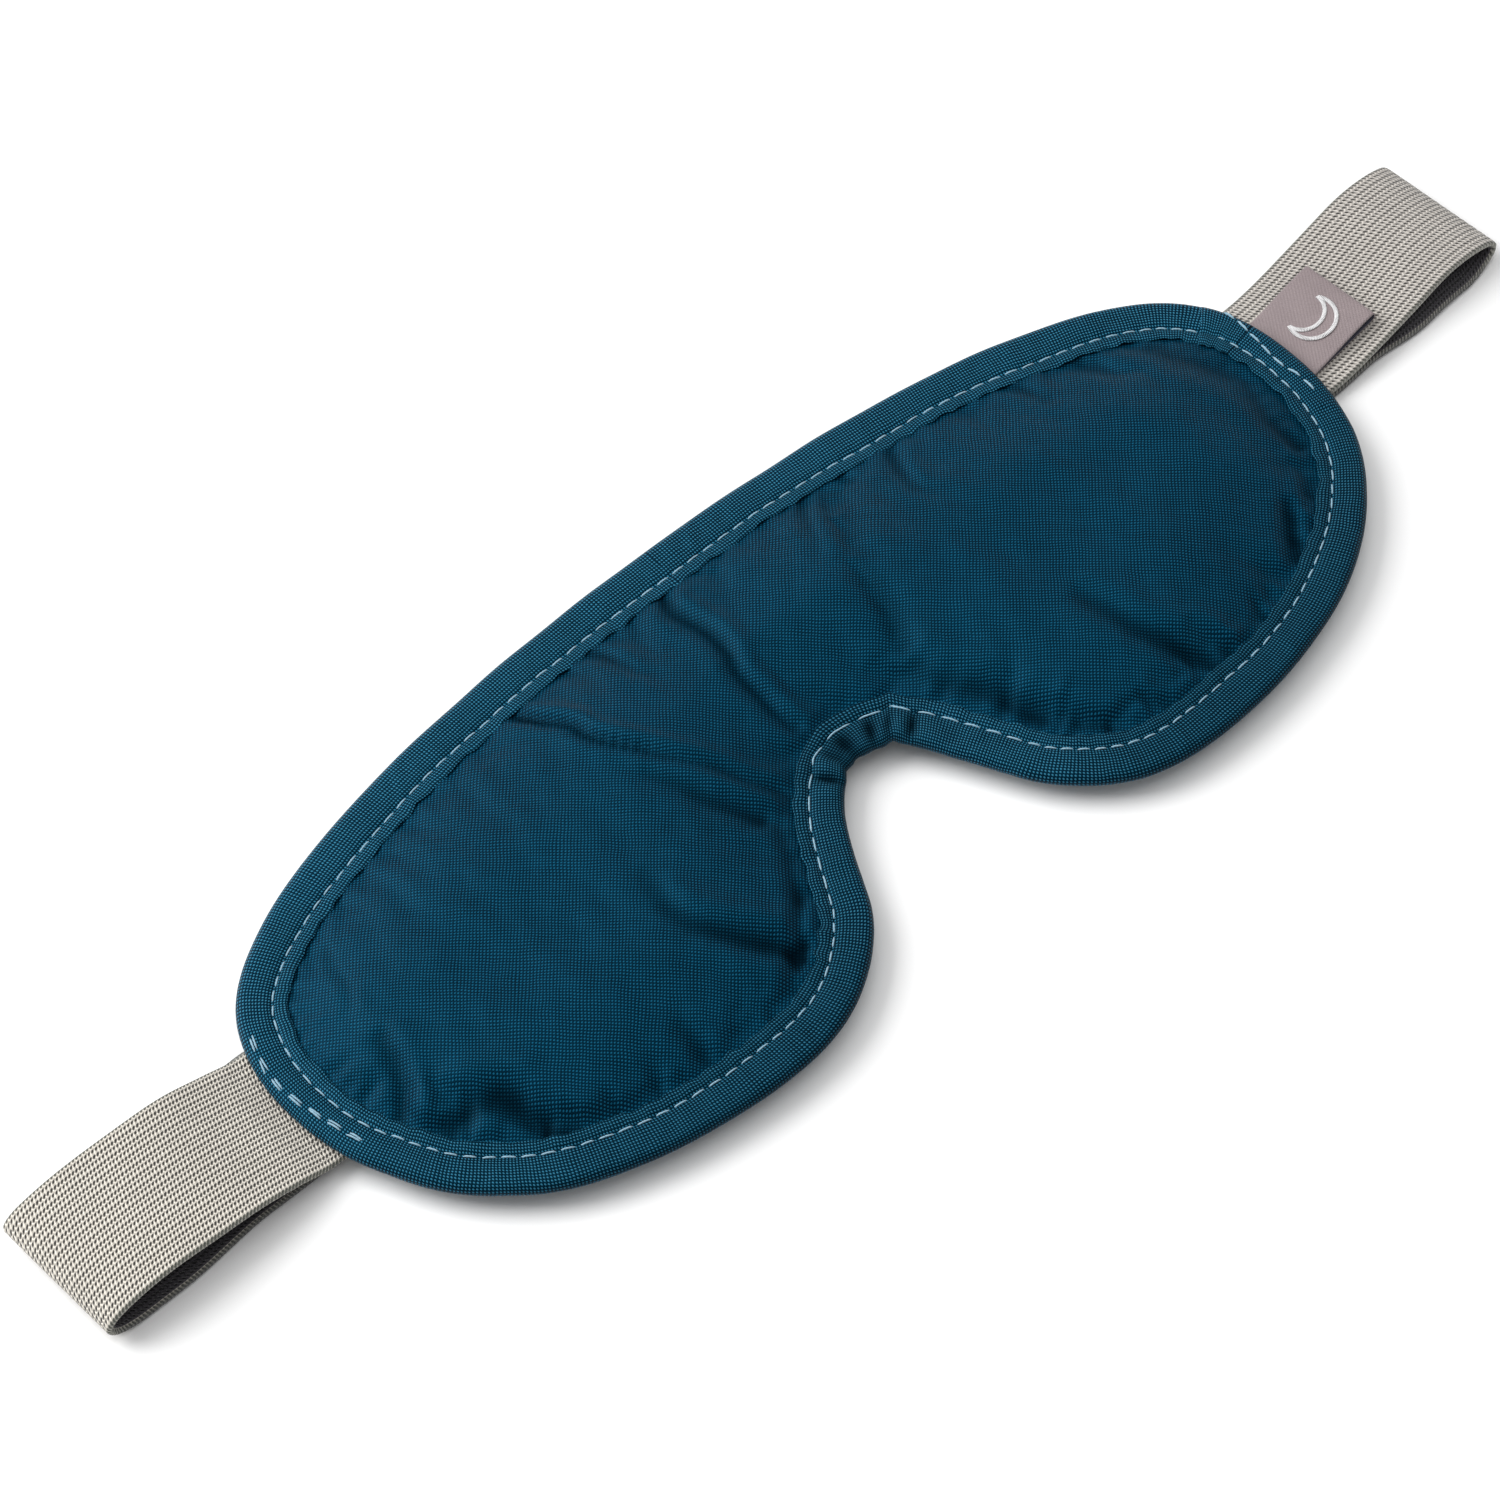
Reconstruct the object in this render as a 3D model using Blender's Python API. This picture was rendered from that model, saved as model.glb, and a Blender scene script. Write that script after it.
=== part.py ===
"""Padded sleep eye mask with a closed elastic strap loop.

Frame: the mask lies on its face side. +X runs across the width towards the side with the
woven label, +Y towards the forehead edge, +Z out of the front panel. x = 0 is the middle of
the nose bridge, z = 0 is the plane the strap lies on. Metres.
"""

import math

import bmesh
import bpy
import numpy as np
from mathutils import Matrix

MM = 0.001

# ---------------------------------------------------------------- driving dimensions, mm
HALF_WIDTH = 109.8          # bridge middle to the side tip
TOP_Y = 40.6                # forehead edge at the bridge
NOTCH_Y = -12.8             # top of the nose notch
LOBE_Y = -48.9              # lowest point of each cheek lobe
BASE_Z = 3.60               # underside of the bound edge
FLANGE_T = 0.40             # binding fabric thickness
SHEET_GAP = 0.10            # clearance between plies
LINING_T = 0.35
LINER_T = 0.25
FRONT_T = 0.35
PAD_EDGE_T = 0.35           # padding squeezed at the bound edge
CROWN = 4.2                 # how far the padded middle stands above the edge
CROWN_START = 10.0          # distance in from the edge where the crown starts
CROWN_RUN = 24.0            # distance over which it rises
BINDING_W = 8.2             # binding width on each face
STITCH_IN = 6.0             # binding stitch line, in from the edge
TACK_IN = {-1: 2.2, 1: 3.1} # strap tack line, in from the edge, left and right
THREAD_D = 0.30
THREAD_GAP = 0.06

STRAP_W = 25.0              # standard elastic width
STRAP_T = 1.20
FOLD_X = 150.3              # centre of the strap's turn-backs
FOLD_RX = {-1: 2.9, 1: 2.0} # how far each turn-back bulges past that
MID_X = 25.56               # where the rear run bends when worn
STRAP_Y_L = -0.7            # strap centre line at the left edge and turn-back
STRAP_Y_R = 1.4             # at the right edge
STRAP_Y_FOLD_R = 4.5        # at the right turn-back
SEAM_OUT = 108.6            # outer end of the sewn strap end
SEAM_IN = 100.0             # inner end of it
FREE_IN = 110.3             # where the free strap starts

BRIDGE_AXIS_Z = 3.8         # nose-bridge fold axis
CUT_PLY = 0.15              # half gap between plies at the bridge
CUT_BINDING = 0.35
CUT_BOBBIN = 0.65
LOOP_CUT_X = -5.0           # where the closed strap loop is opened
BAND_GAP = 0.15             # half gap at strap joints that stay in line
BEND_GAP = 0.30             # half gap at strap joints that bend

NS = 20                     # outline stations per branch

# ---------------------------------------------------------------- clean start
for o in list(bpy.data.objects):
    bpy.data.objects.remove(o, do_unlink=True)
for c in list(bpy.data.collections):
    bpy.data.collections.remove(c)

parts = bpy.data.collections.new("sleep_mask")
bpy.context.scene.collection.children.link(parts)


# ---------------------------------------------------------------- materials
def material(name, rgb, rough, sheen=0.0):
    m = bpy.data.materials.new(name)
    m.use_nodes = True
    p = m.node_tree.nodes["Principled BSDF"]
    p.inputs["Base Color"].default_value = (*rgb, 1.0)
    p.inputs["Roughness"].default_value = rough
    p.inputs["Sheen Weight"].default_value = sheen
    m.diffuse_color = (*rgb, 1.0)
    return m


MAT = {
    "front_fabric": material("front_fabric", (0.004, 0.051, 0.112), 0.55, 0.3),
    "binding_fabric": material("binding_fabric", (0.004, 0.047, 0.103), 0.55, 0.3),
    "lining_fabric": material("lining_fabric", (0.006, 0.035, 0.075), 0.75, 0.5),
    "blackout_film": material("blackout_film", (0.012, 0.012, 0.013), 0.7),
    "padding_foam": material("padding_foam", (0.62, 0.62, 0.58), 0.9),
    "thread": material("thread", (0.22, 0.42, 0.56), 0.5),
    "elastic": material("elastic", (0.56, 0.54, 0.50), 0.8, 0.3),
    "label_satin": material("label_satin", (0.33, 0.27, 0.27), 0.4, 0.2),
}


# ---------------------------------------------------------------- outline of one half
def bezier(p0, p1, p2, p3, n):
    t = np.linspace(0.0, 1.0, n, endpoint=False)[:, None]
    p = ((1 - t) ** 3) * p0 + 3 * t * (1 - t) ** 2 * p1 + 3 * t * t * (1 - t) * p2 + t ** 3 * p3
    return p


def polar(deg):
    return np.array([math.cos(math.radians(deg)), math.sin(math.radians(deg))])


def outline_dense():
    """Half outline from the bridge's forehead edge round the tip to the nose notch."""
    top = np.array([0.0, TOP_Y])
    shoulder, sd = np.array([97.0, 23.7]), polar(-32.1)
    tip = np.array([HALF_WIDTH, -0.8])
    lobe = np.array([46.2, LOBE_Y])
    flank, fd = np.array([16.9, -32.7]), polar(115.4)
    notch = np.array([0.0, NOTCH_Y])
    ex, ey = np.array([1.0, 0.0]), np.array([0.0, 1.0])
    upper = np.vstack([
        bezier(top, top + 34.7 * ex, shoulder - 24.4 * sd, shoulder, 400),
        bezier(shoulder, shoulder + 12.9 * sd, tip + 7.9 * ey, tip, 200),
        [tip],
    ])
    lower = np.vstack([
        bezier(tip, tip - 34.8 * ey, lobe + 30.9 * ex, lobe, 400),
        bezier(lobe, lobe - 14.0 * ex, flank - 9.7 * fd, flank, 200),
        bezier(flank, flank + 8.6 * fd, notch + 7.2 * ex, notch, 200),
        [notch],
    ])
    return upper, lower


def resample(p, n):
    s = np.concatenate([[0.0], np.cumsum(np.linalg.norm(np.diff(p, axis=0), axis=1))])
    t = np.linspace(0.0, s[-1], n + 1)
    q = np.stack([np.interp(t, s, p[:, 0]), np.interp(t, s, p[:, 1])], 1)
    e = 0.2
    a = np.stack([np.interp(t - e, s, p[:, 0]), np.interp(t - e, s, p[:, 1])], 1)
    b = np.stack([np.interp(t + e, s, p[:, 0]), np.interp(t + e, s, p[:, 1])], 1)
    d = b - a
    d /= np.linalg.norm(d, axis=1)[:, None]
    # inward normal: the outline runs clockwise seen from +Z
    return q, np.stack([d[:, 1], -d[:, 0]], 1)


UPPER, LOWER = outline_dense()
_uq, _un = resample(UPPER, NS)
_lq, _ln = resample(LOWER, NS)
RIM = np.vstack([_uq, _lq[1:]])                       # 2 NS + 1 points
NRM = np.vstack([_un, _ln[1:]])
NRM[0] = (0.0, -1.0)
NRM[-1] = (0.0, 1.0)
NRM[NS] = (-1.0, 0.0)
DENSE = np.vstack([UPPER, LOWER[1:]])[::3]


def spine(i):
    """Matching inner line that both branches close onto."""
    f = (i if i <= NS else 2 * NS - i) / NS
    return np.array([84.0 * f, 14.0 - 17.0 * f * f])


SPINE = np.array([spine(i) for i in range(2 * NS + 1)])


def rim_distance(x, y):
    a, b = DENSE[:-1], DENSE[1:]
    ab = b - a
    ap = np.array([x, y]) - a
    t = np.clip((ap * ab).sum(1) / (ab * ab).sum(1), 0, 1)
    return float(np.sqrt((((a + ab * t[:, None]) - (x, y)) ** 2).sum(1)).min())


def crown(x, y):
    t = min(max((rim_distance(abs(x), y) - CROWN_START) / CROWN_RUN, 0.0), 1.0)
    return CROWN * t * t * (3 - 2 * t)


def rim_point(i, d, side, cut):
    """Point i of the outline, moved d inwards, on side +1 or -1."""
    p = RIM[i] + NRM[i] * d
    return side * max(p[0], cut), p[1]


# ---------------------------------------------------------------- mesh helpers
def finish(bm, name, mat):
    bmesh.ops.recalc_face_normals(bm, faces=bm.faces[:])
    if bm.calc_volume(signed=True) < 0:
        bmesh.ops.reverse_faces(bm, faces=bm.faces[:])
    me = bpy.data.meshes.new(name)
    bm.to_mesh(me)
    bm.free()
    o = bpy.data.objects.new(name, me)
    me.materials.append(MAT[mat])
    parts.objects.link(o)
    return o


def grid(nu, nv, fn):
    """Grid primitive with vertex (i, k) placed at fn(i, k) in mm."""
    bm = bmesh.new()
    bmesh.ops.create_grid(bm, x_segments=nu, y_segments=nv, size=1.0)
    for v in bm.verts:
        i = int(round((v.co.x + 1.0) * 0.5 * nu))
        k = int(round((v.co.y + 1.0) * 0.5 * nv))
        v.co = [c * MM for c in fn(i, k)]
    bmesh.ops.remove_doubles(bm, verts=bm.verts[:], dist=0.000001)
    return bm


def ply(name, mat, side, inset, cut, z_low, z_high):
    """A crowned sheet filling one half inside the outline: z_low(x, y) up to z_high(x, y)."""

    def at(i, k):
        if k == 0:
            x, y = rim_point(i, inset, side, cut)
        else:
            b = np.array(rim_point(i, CROWN_START, side, cut))
            s = np.array([side * max(SPINE[i][0], cut), SPINE[i][1]])
            x, y = b + (s - b) * RINGS[k - 1]
        return x, y, z_low(x, y)

    bm = grid(2 * NS, len(RINGS), at)
    low = set(bm.verts)
    bmesh.ops.extrude_face_region(bm, geom=bm.faces[:] + bm.edges[:] + bm.verts[:], use_keep_orig=True)
    for v in bm.verts:
        if v not in low:
            v.co.z = z_high(v.co.x / MM, v.co.y / MM) * MM
    return finish(bm, name, mat)


def sweep_rim(name, mat, side, cut, profile):
    """Closed profile of (distance in, z) swept along the outline and capped."""
    m = len(profile)

    def at(i, k):
        d, z = profile[k % m]
        x, y = rim_point(i, d, side, cut)
        return x, y, z

    bm = grid(2 * NS, m, at)
    bmesh.ops.holes_fill(bm, edges=[e for e in bm.edges if e.is_boundary], sides=m)
    return finish(bm, name, mat)


def curve_object(name, mat, dimensions, points, cyclic):
    cu = bpy.data.curves.new(name, "CURVE")
    cu.dimensions = dimensions
    sp = cu.splines.new("POLY")
    sp.points.add(len(points) - 1)
    for p, c in zip(sp.points, points):
        p.co = (c[0] * MM, c[1] * MM, (c[2] if len(c) > 2 else 0.0) * MM, 1.0)
    sp.use_cyclic_u = cyclic
    cu.materials.append(MAT[mat])
    o = bpy.data.objects.new(name, cu)
    parts.objects.link(o)
    return o


def flat_ply(name, mat, side, inset, z0, thick):
    """A flat sheet filling one half: its outline as a filled 2D curve, extruded."""
    o = curve_object(name, mat, "2D", [rim_point(i, inset, side, CUT_PLY) for i in range(2 * NS + 1)], True)
    o.data.fill_mode = "BOTH"
    o.data.extrude = thick / 2 * MM
    o.location.z = (z0 + thick / 2) * MM
    return o


def cord(name, mat, points):
    """A thread as a round wire with filled ends."""
    o = curve_object(name, mat, "3D", points, False)
    o.data.fill_mode = "FULL"
    o.data.bevel_depth = THREAD_D / 2 * MM
    o.data.bevel_resolution = 1
    o.data.use_fill_caps = True
    return o


def band(name, mat, path, width, thick, centre_y, radius=0.35):
    """Flat band of rounded section along a path of (x, z, nx, nz); centre_y(x) sets its middle."""
    h, w, r = thick / 2, width / 2, min(radius, thick * 0.45)
    prof = [(-w, -h + r), (-w + r, -h), (w - r, -h), (w, -h + r), (w, h - r), (w - r, h), (-w + r, h), (-w, h - r)]
    m = len(prof)

    def at(i, k):
        x, z, nx, nz = path[i]
        a, b = prof[k % m]
        return x + nx * b, centre_y(x) + a, z + nz * b

    bm = grid(len(path) - 1, m, at)
    bmesh.ops.holes_fill(bm, edges=[e for e in bm.edges if e.is_boundary], sides=m)
    return finish(bm, name, mat)


def path_of(xs, z_of):
    """Path points with normals from a height function."""
    out = []
    for x in xs:
        e = 0.05
        dz = (z_of(x + e) - z_of(x - e)) / (2 * e)
        q = math.hypot(1.0, dz)
        out.append((x, z_of(x), -dz / q, 1 / q))
    # end faces stay square to X so that neighbouring pieces meet cleanly
    out[0] = (out[0][0], out[0][1], 0.0, 1.0)
    out[-1] = (out[-1][0], out[-1][1], 0.0, 1.0)
    return out


def lerp_list(a, b, n):
    return [a + (b - a) * i / n for i in range(n + 1)]


# ---------------------------------------------------------------- z levels
Z_FLANGE_LOW = BASE_Z
Z_LINING = BASE_Z + FLANGE_T + SHEET_GAP
Z_LINER = Z_LINING + LINING_T + SHEET_GAP
Z_PAD = Z_LINER + LINER_T + SHEET_GAP
Z_FRONT = Z_PAD + PAD_EDGE_T + SHEET_GAP
Z_FLANGE_UP = Z_FRONT + FRONT_T + SHEET_GAP
Z_TOP = Z_FLANGE_UP + FLANGE_T
Z_MID = (Z_FLANGE_LOW + Z_TOP) / 2

BINDING_PROFILE = [
    (BINDING_W, Z_TOP), (1.3, Z_TOP), (0.35, Z_TOP - 0.35), (0.0, Z_MID),
    (0.35, Z_FLANGE_LOW + 0.35), (1.3, Z_FLANGE_LOW), (BINDING_W, Z_FLANGE_LOW),
    (BINDING_W, Z_FLANGE_LOW + FLANGE_T), (1.45, Z_FLANGE_LOW + FLANGE_T),
    (0.75, Z_FLANGE_LOW + 0.60), (0.45, Z_MID), (0.75, Z_TOP - 0.60),
    (1.45, Z_TOP - FLANGE_T), (BINDING_W, Z_TOP - FLANGE_T),
]
INSET = 1.6                 # plies start this far in from the outline
RINGS = (0.0, 0.2, 0.45, 0.72, 1.0)


# ---------------------------------------------------------------- the two padded halves
STRAP_Y = {-1: STRAP_Y_L, 1: STRAP_Y_R}
END_Z = {-1: (2.00, 3.12), 1: (1.62, 2.74)}            # sewn strap end, low and high
NAMES = {-1: "left", 1: "right"}

for side in (-1, 1):
    s = NAMES[side]
    flat_ply("back_panel_" + s, "lining_fabric", side, INSET, Z_LINING, LINING_T)
    flat_ply("blackout_liner_" + s, "blackout_film", side, INSET + 0.2, Z_LINER, LINER_T)
    ply("padding_" + s, "padding_foam", side, INSET + 0.4, CUT_PLY,
        lambda x, y: Z_PAD, lambda x, y: Z_PAD + PAD_EDGE_T + crown(x, y))
    ply("front_panel_" + s, "front_fabric", side, INSET, CUT_PLY,
        lambda x, y: Z_FRONT + crown(x, y), lambda x, y: Z_FRONT + FRONT_T + crown(x, y))
    sweep_rim("binding_" + s, "binding_fabric", side, CUT_BINDING, BINDING_PROFILE)

    z_needle = Z_TOP + THREAD_GAP + THREAD_D / 2
    z_bobbin = BASE_Z - THREAD_GAP - THREAD_D / 2
    line = range(2 * NS + 1)
    cord("topstitch_" + s, "thread", [(*rim_point(i, STITCH_IN, side, CUT_PLY), z_needle) for i in line])
    cord("bobbin_stitch_" + s, "thread", [(*rim_point(i, STITCH_IN, side, CUT_BOBBIN), z_bobbin) for i in line])

    # the two tack rows run along the tip, across the strap's width
    yc = STRAP_Y[side]
    tip = np.vstack([UPPER[-200:], LOWER[1:200]])
    ys = [yc + (STRAP_W / 2 - 0.6) * (1 - j / 4) for j in range(9)]
    xs = np.interp(ys, tip[::-1, 1], tip[::-1, 0]) - TACK_IN[side]
    zl, zh = END_Z[side]
    cord("strap_tack_front_" + s, "thread", [(side * x, y, z_needle) for x, y in zip(xs, ys)])
    cord("strap_tack_back_" + s, "thread",
         [(side * x, y, zl - THREAD_GAP - THREAD_D / 2) for x, y in zip(xs, ys)])
    band("strap_end_" + s, "elastic",
         [(side * x, (zl + zh) / 2, 0.0, 1.0) for x in (SEAM_IN, SEAM_OUT)],
         STRAP_W, zh - zl, lambda x, yc=yc: yc)


# ---------------------------------------------------------------- the strap loop
def strap_y(x):
    """Centre line of the rear run: nearly straight, then skewed under the right upper run."""
    t = min(max((x - FREE_IN) / (FOLD_X - FREE_IN), 0.0), 1.0)
    run = min((x + FOLD_X) / (FREE_IN + FOLD_X), 1.0)
    return STRAP_Y_L + (STRAP_Y_R - STRAP_Y_L) * run + (STRAP_Y_FOLD_R - STRAP_Y_R) * t


REAR_Z = STRAP_T / 2
LOOP_TOP = {-1: 5.90, 1: 4.50}                          # upper run's middle at the turn-back
ARCH = {-1: 1.6, 1: 0.5}                                # extra rise half way out


def upper_z(side):
    z0 = sum(END_Z[side]) / 2
    z1 = LOOP_TOP[side]

    def z(x):
        t = min(max((abs(x) - FREE_IN) / (FOLD_X - FREE_IN), 0.0), 1.0)
        return z0 + (z1 - z0) * t * t * (3 - 2 * t) + ARCH[side] * math.sin(math.pi * t) ** 2

    return z


def upper_y(side):
    if side < 0:
        return lambda x: STRAP_Y_L
    return lambda x: STRAP_Y_R + (STRAP_Y_FOLD_R - STRAP_Y_R) * min(
        max((x - FREE_IN) / (FOLD_X - FREE_IN), 0.0), 1.0)


for side in (-1, 1):
    s = NAMES[side]
    zf = upper_z(side)
    xs = [side * v for v in lerp_list(FREE_IN, FOLD_X - BAND_GAP, 10)]
    band("strap_" + s, "elastic", path_of(xs, zf), STRAP_W, STRAP_T, upper_y(side))

    # turn-back: half an ellipse from the upper run down to the rear run
    zc, rz = (LOOP_TOP[side] + REAR_Z) / 2, (LOOP_TOP[side] - REAR_Z) / 2
    rx = FOLD_RX[side]
    arc = []
    for j in range(11):
        a = math.pi / 2 - math.pi * j / 10
        x, z = FOLD_X + BAND_GAP + rx * math.cos(a), zc + rz * math.sin(a)
        nx, nz = math.cos(a) / rx, math.sin(a) / rz
        q = math.hypot(nx, nz)
        if j in (0, 10):
            nx, nz, q = 0.0, (1.0 if j == 0 else -1.0), 1.0
        arc.append((side * x, z, side * nx / q, nz / q))
    y_end = upper_y(side)(side * FOLD_X)
    band("strap_fold_" + s, "elastic", arc, STRAP_W, STRAP_T, lambda x, y=y_end: y)

    flat = lambda *xs: [(side * x, REAR_Z, 0.0, 1.0) for x in xs]
    band("strap_rear_" + s, "elastic", flat(MID_X + BEND_GAP, FREE_IN, FOLD_X - BAND_GAP),
         STRAP_W, STRAP_T, strap_y)
    band("strap_mid_" + s, "elastic", flat(side * LOOP_CUT_X + BAND_GAP, MID_X - BEND_GAP),
         STRAP_W, STRAP_T, strap_y)

# ---------------------------------------------------------------- the side label
LABEL_Y0, LABEL_Y1 = -6.9, 8.1
LABEL_PLY = 0.22
LABEL_OPEN = 0.26
LABEL_FREE = 110.95
LABEL_OUT = 125.1
label_mid = (LABEL_Y0 + LABEL_Y1) / 2
label_w = LABEL_Y1 - LABEL_Y0
right_z = upper_z(1)


def label_y(x):
    """The label leans a little, like the strap under it."""
    return label_mid + (x - 110.0) * 0.08


def label_low(x):
    return max(right_z(x) + STRAP_T / 2 + 0.14, 2.86)


stub_low, stub_high = 2.84, 3.50
band("label_end", "label_satin",
     [(x, (stub_low + stub_high) / 2, 0.0, 1.0) for x in (104.9, 110.1)],
     label_w, stub_high - stub_low, label_y, 0.12)

lower_run = path_of(lerp_list(LABEL_FREE, LABEL_OUT - 0.3, 5), lambda x: label_low(x) + LABEL_PLY / 2)
rise = LABEL_PLY + LABEL_OPEN
turn = []
x_t, z_t = LABEL_OUT - 0.3, label_low(LABEL_OUT - 0.3) + LABEL_PLY / 2 + rise / 2
for j in range(1, 6):
    a = -math.pi / 2 + math.pi * j / 6
    turn.append((x_t + rise / 2 * math.cos(a), z_t + rise / 2 * math.sin(a), -math.cos(a), -math.sin(a)))
upper_run = [(x, z + rise, -nx, -nz) for x, z, nx, nz in reversed(lower_run)]
band("side_label", "label_satin", lower_run + turn + upper_run, label_w, LABEL_PLY, label_y, 0.06)


# ---------------------------------------------------------------- hang the moving pieces
def axis_empty(name, pivot, parent=None):
    """An empty on a joint's axis; pivot in mm, world."""
    e = bpy.data.objects.new(name, None)
    e.empty_display_size = 0.01
    parts.objects.link(e)
    e.parent = parent
    base = PIVOTS[parent.name] if parent else (0.0, 0.0, 0.0)
    e.location = [(p - b) * MM for p, b in zip(pivot, base)]
    PIVOTS[name] = pivot
    return e


def hang(node, empty):
    """Parents a node to its joint's empty, with the node's own origin on the axis."""
    o = bpy.data.objects[node]
    p = PIVOTS[empty.name]
    if o.type == "MESH":
        o.data.transform(Matrix.Translation([-c * MM for c in p]))
    else:
        o.location = [a - c * MM for a, c in zip(o.location, p)]
    o.parent = empty


PIVOTS = {}
FOLD_AXIS_Z = 2.75
SWING_AXIS_Z = 6.2
left_swing = axis_empty("axis_left_swing", (-110.0, STRAP_Y_L, SWING_AXIS_Z))
left_unfold = axis_empty("axis_left_unfold", (-FOLD_X, STRAP_Y_L, FOLD_AXIS_Z), left_swing)
left_curve = axis_empty("axis_left_curve", (-MID_X, 0.3, REAR_Z), left_unfold)
bridge = axis_empty("axis_bridge", (0.0, 0.0, BRIDGE_AXIS_Z))
right_swing = axis_empty("axis_right_swing", (110.0, STRAP_Y_R, SWING_AXIS_Z), bridge)
right_unfold = axis_empty("axis_right_unfold", (FOLD_X, STRAP_Y_FOLD_R, FOLD_AXIS_Z), right_swing)
right_curve = axis_empty("axis_right_curve", (MID_X, 0.7, REAR_Z), right_unfold)
label_axis = axis_empty("axis_label", (110.75, label_mid, 3.15), bridge)

for node in ("strap_left", "strap_fold_left"):
    hang(node, left_swing)
hang("strap_rear_left", left_unfold)
hang("strap_mid_left", left_curve)
for piece in ("front_panel", "padding", "blackout_liner", "back_panel", "binding", "topstitch",
              "bobbin_stitch", "strap_tack_front", "strap_tack_back", "strap_end"):
    hang(piece + "_right", bridge)
hang("label_end", bridge)
for node in ("strap_right", "strap_fold_right"):
    hang(node, right_swing)
hang("strap_rear_right", right_unfold)
hang("strap_mid_right", right_curve)
hang("side_label", label_axis)
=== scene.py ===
import math

import bpy
import numpy as np
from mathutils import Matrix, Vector


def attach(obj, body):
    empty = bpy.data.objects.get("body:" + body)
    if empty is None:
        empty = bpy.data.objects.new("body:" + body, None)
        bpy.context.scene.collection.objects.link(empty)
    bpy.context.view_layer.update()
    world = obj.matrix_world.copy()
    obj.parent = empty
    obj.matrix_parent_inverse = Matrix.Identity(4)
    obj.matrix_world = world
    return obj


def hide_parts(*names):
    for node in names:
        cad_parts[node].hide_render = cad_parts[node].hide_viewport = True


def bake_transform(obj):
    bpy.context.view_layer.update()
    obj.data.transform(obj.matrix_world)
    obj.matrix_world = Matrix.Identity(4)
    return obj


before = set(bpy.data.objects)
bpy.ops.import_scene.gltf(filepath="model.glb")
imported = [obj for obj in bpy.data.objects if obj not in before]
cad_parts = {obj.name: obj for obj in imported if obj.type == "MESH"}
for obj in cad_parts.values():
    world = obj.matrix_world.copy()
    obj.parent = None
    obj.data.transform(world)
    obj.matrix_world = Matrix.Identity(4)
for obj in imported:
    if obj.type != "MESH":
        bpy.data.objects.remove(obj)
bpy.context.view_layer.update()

for name in ("Cube", "Light", "Camera"):
    if name in bpy.data.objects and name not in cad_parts:
        bpy.data.objects.remove(bpy.data.objects[name])

MM = 0.001
Z_MID = 4.9                   # middle of the bound edge
HALF_T = 1.3                  # half its thickness
Z_PANEL = 5.62                # front panel where it leaves the binding
CROWN = 4.15
LIP = 2.45                    # binding beyond its stitch line
PITCH = 3.4                   # stitch length with its gap


# ================================================================ outline
def bezier(p0, p1, p2, p3, n):
    t = np.linspace(0.0, 1.0, n, endpoint=False)[:, None]
    return ((1 - t) ** 3) * p0 + 3 * t * (1 - t) ** 2 * p1 + 3 * t * t * (1 - t) * p2 + t ** 3 * p3


def polar(deg):
    return np.array([math.cos(math.radians(deg)), math.sin(math.radians(deg))])


def smooth01(t):
    t = np.clip(t, 0.0, 1.0)
    return t * t * (3 - 2 * t)


def half_outline():
    top = np.array([0.0, 40.6])
    shoulder, sd = np.array([97.0, 23.7]), polar(-32.1)
    tip = np.array([109.8, -0.8])
    lobe = np.array([46.2, -48.9])
    flank, fd = np.array([16.9, -32.7]), polar(115.4)
    notch = np.array([0.0, -12.8])
    ex, ey = np.array([1.0, 0.0]), np.array([0.0, 1.0])
    return np.vstack([
        bezier(top, top + 34.7 * ex, shoulder - 24.4 * sd, shoulder, 600),
        bezier(shoulder, shoulder + 12.9 * sd, tip + 7.9 * ey, tip, 300),
        bezier(tip, tip - 34.8 * ey, lobe + 30.9 * ex, lobe, 600),
        bezier(lobe, lobe - 14.0 * ex, flank - 9.7 * fd, flank, 300),
        bezier(flank, flank + 8.6 * fd, notch + 7.2 * ex, notch, 300),
        [notch],
    ])


_half = half_outline()
_loop = np.vstack([_half, (_half * (-1, 1))[::-1][1:]])
_cum = np.concatenate([[0.0], np.cumsum(np.linalg.norm(np.diff(_loop, axis=0), axis=1))])
LOOP = float(_cum[-1])                         # perimeter, clockwise seen from +Z
NOTCH_S = LOOP / 2


def on_edge(s):
    s = np.mod(s, LOOP)
    return np.stack([np.interp(s, _cum, _loop[:, 0]), np.interp(s, _cum, _loop[:, 1])], -1)


def edge_frame(s, e=0.9):
    """Edge point, unit tangent and inward normal."""
    p = on_edge(s)
    d = on_edge(np.asarray(s) + e) - on_edge(np.asarray(s) - e)
    d /= np.linalg.norm(d, axis=-1)[..., None]
    return p, d, np.stack([d[..., 1], -d[..., 0]], -1)


_ss = np.arange(0.0, LOOP, 0.3)
_sp = on_edge(_ss)


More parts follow.
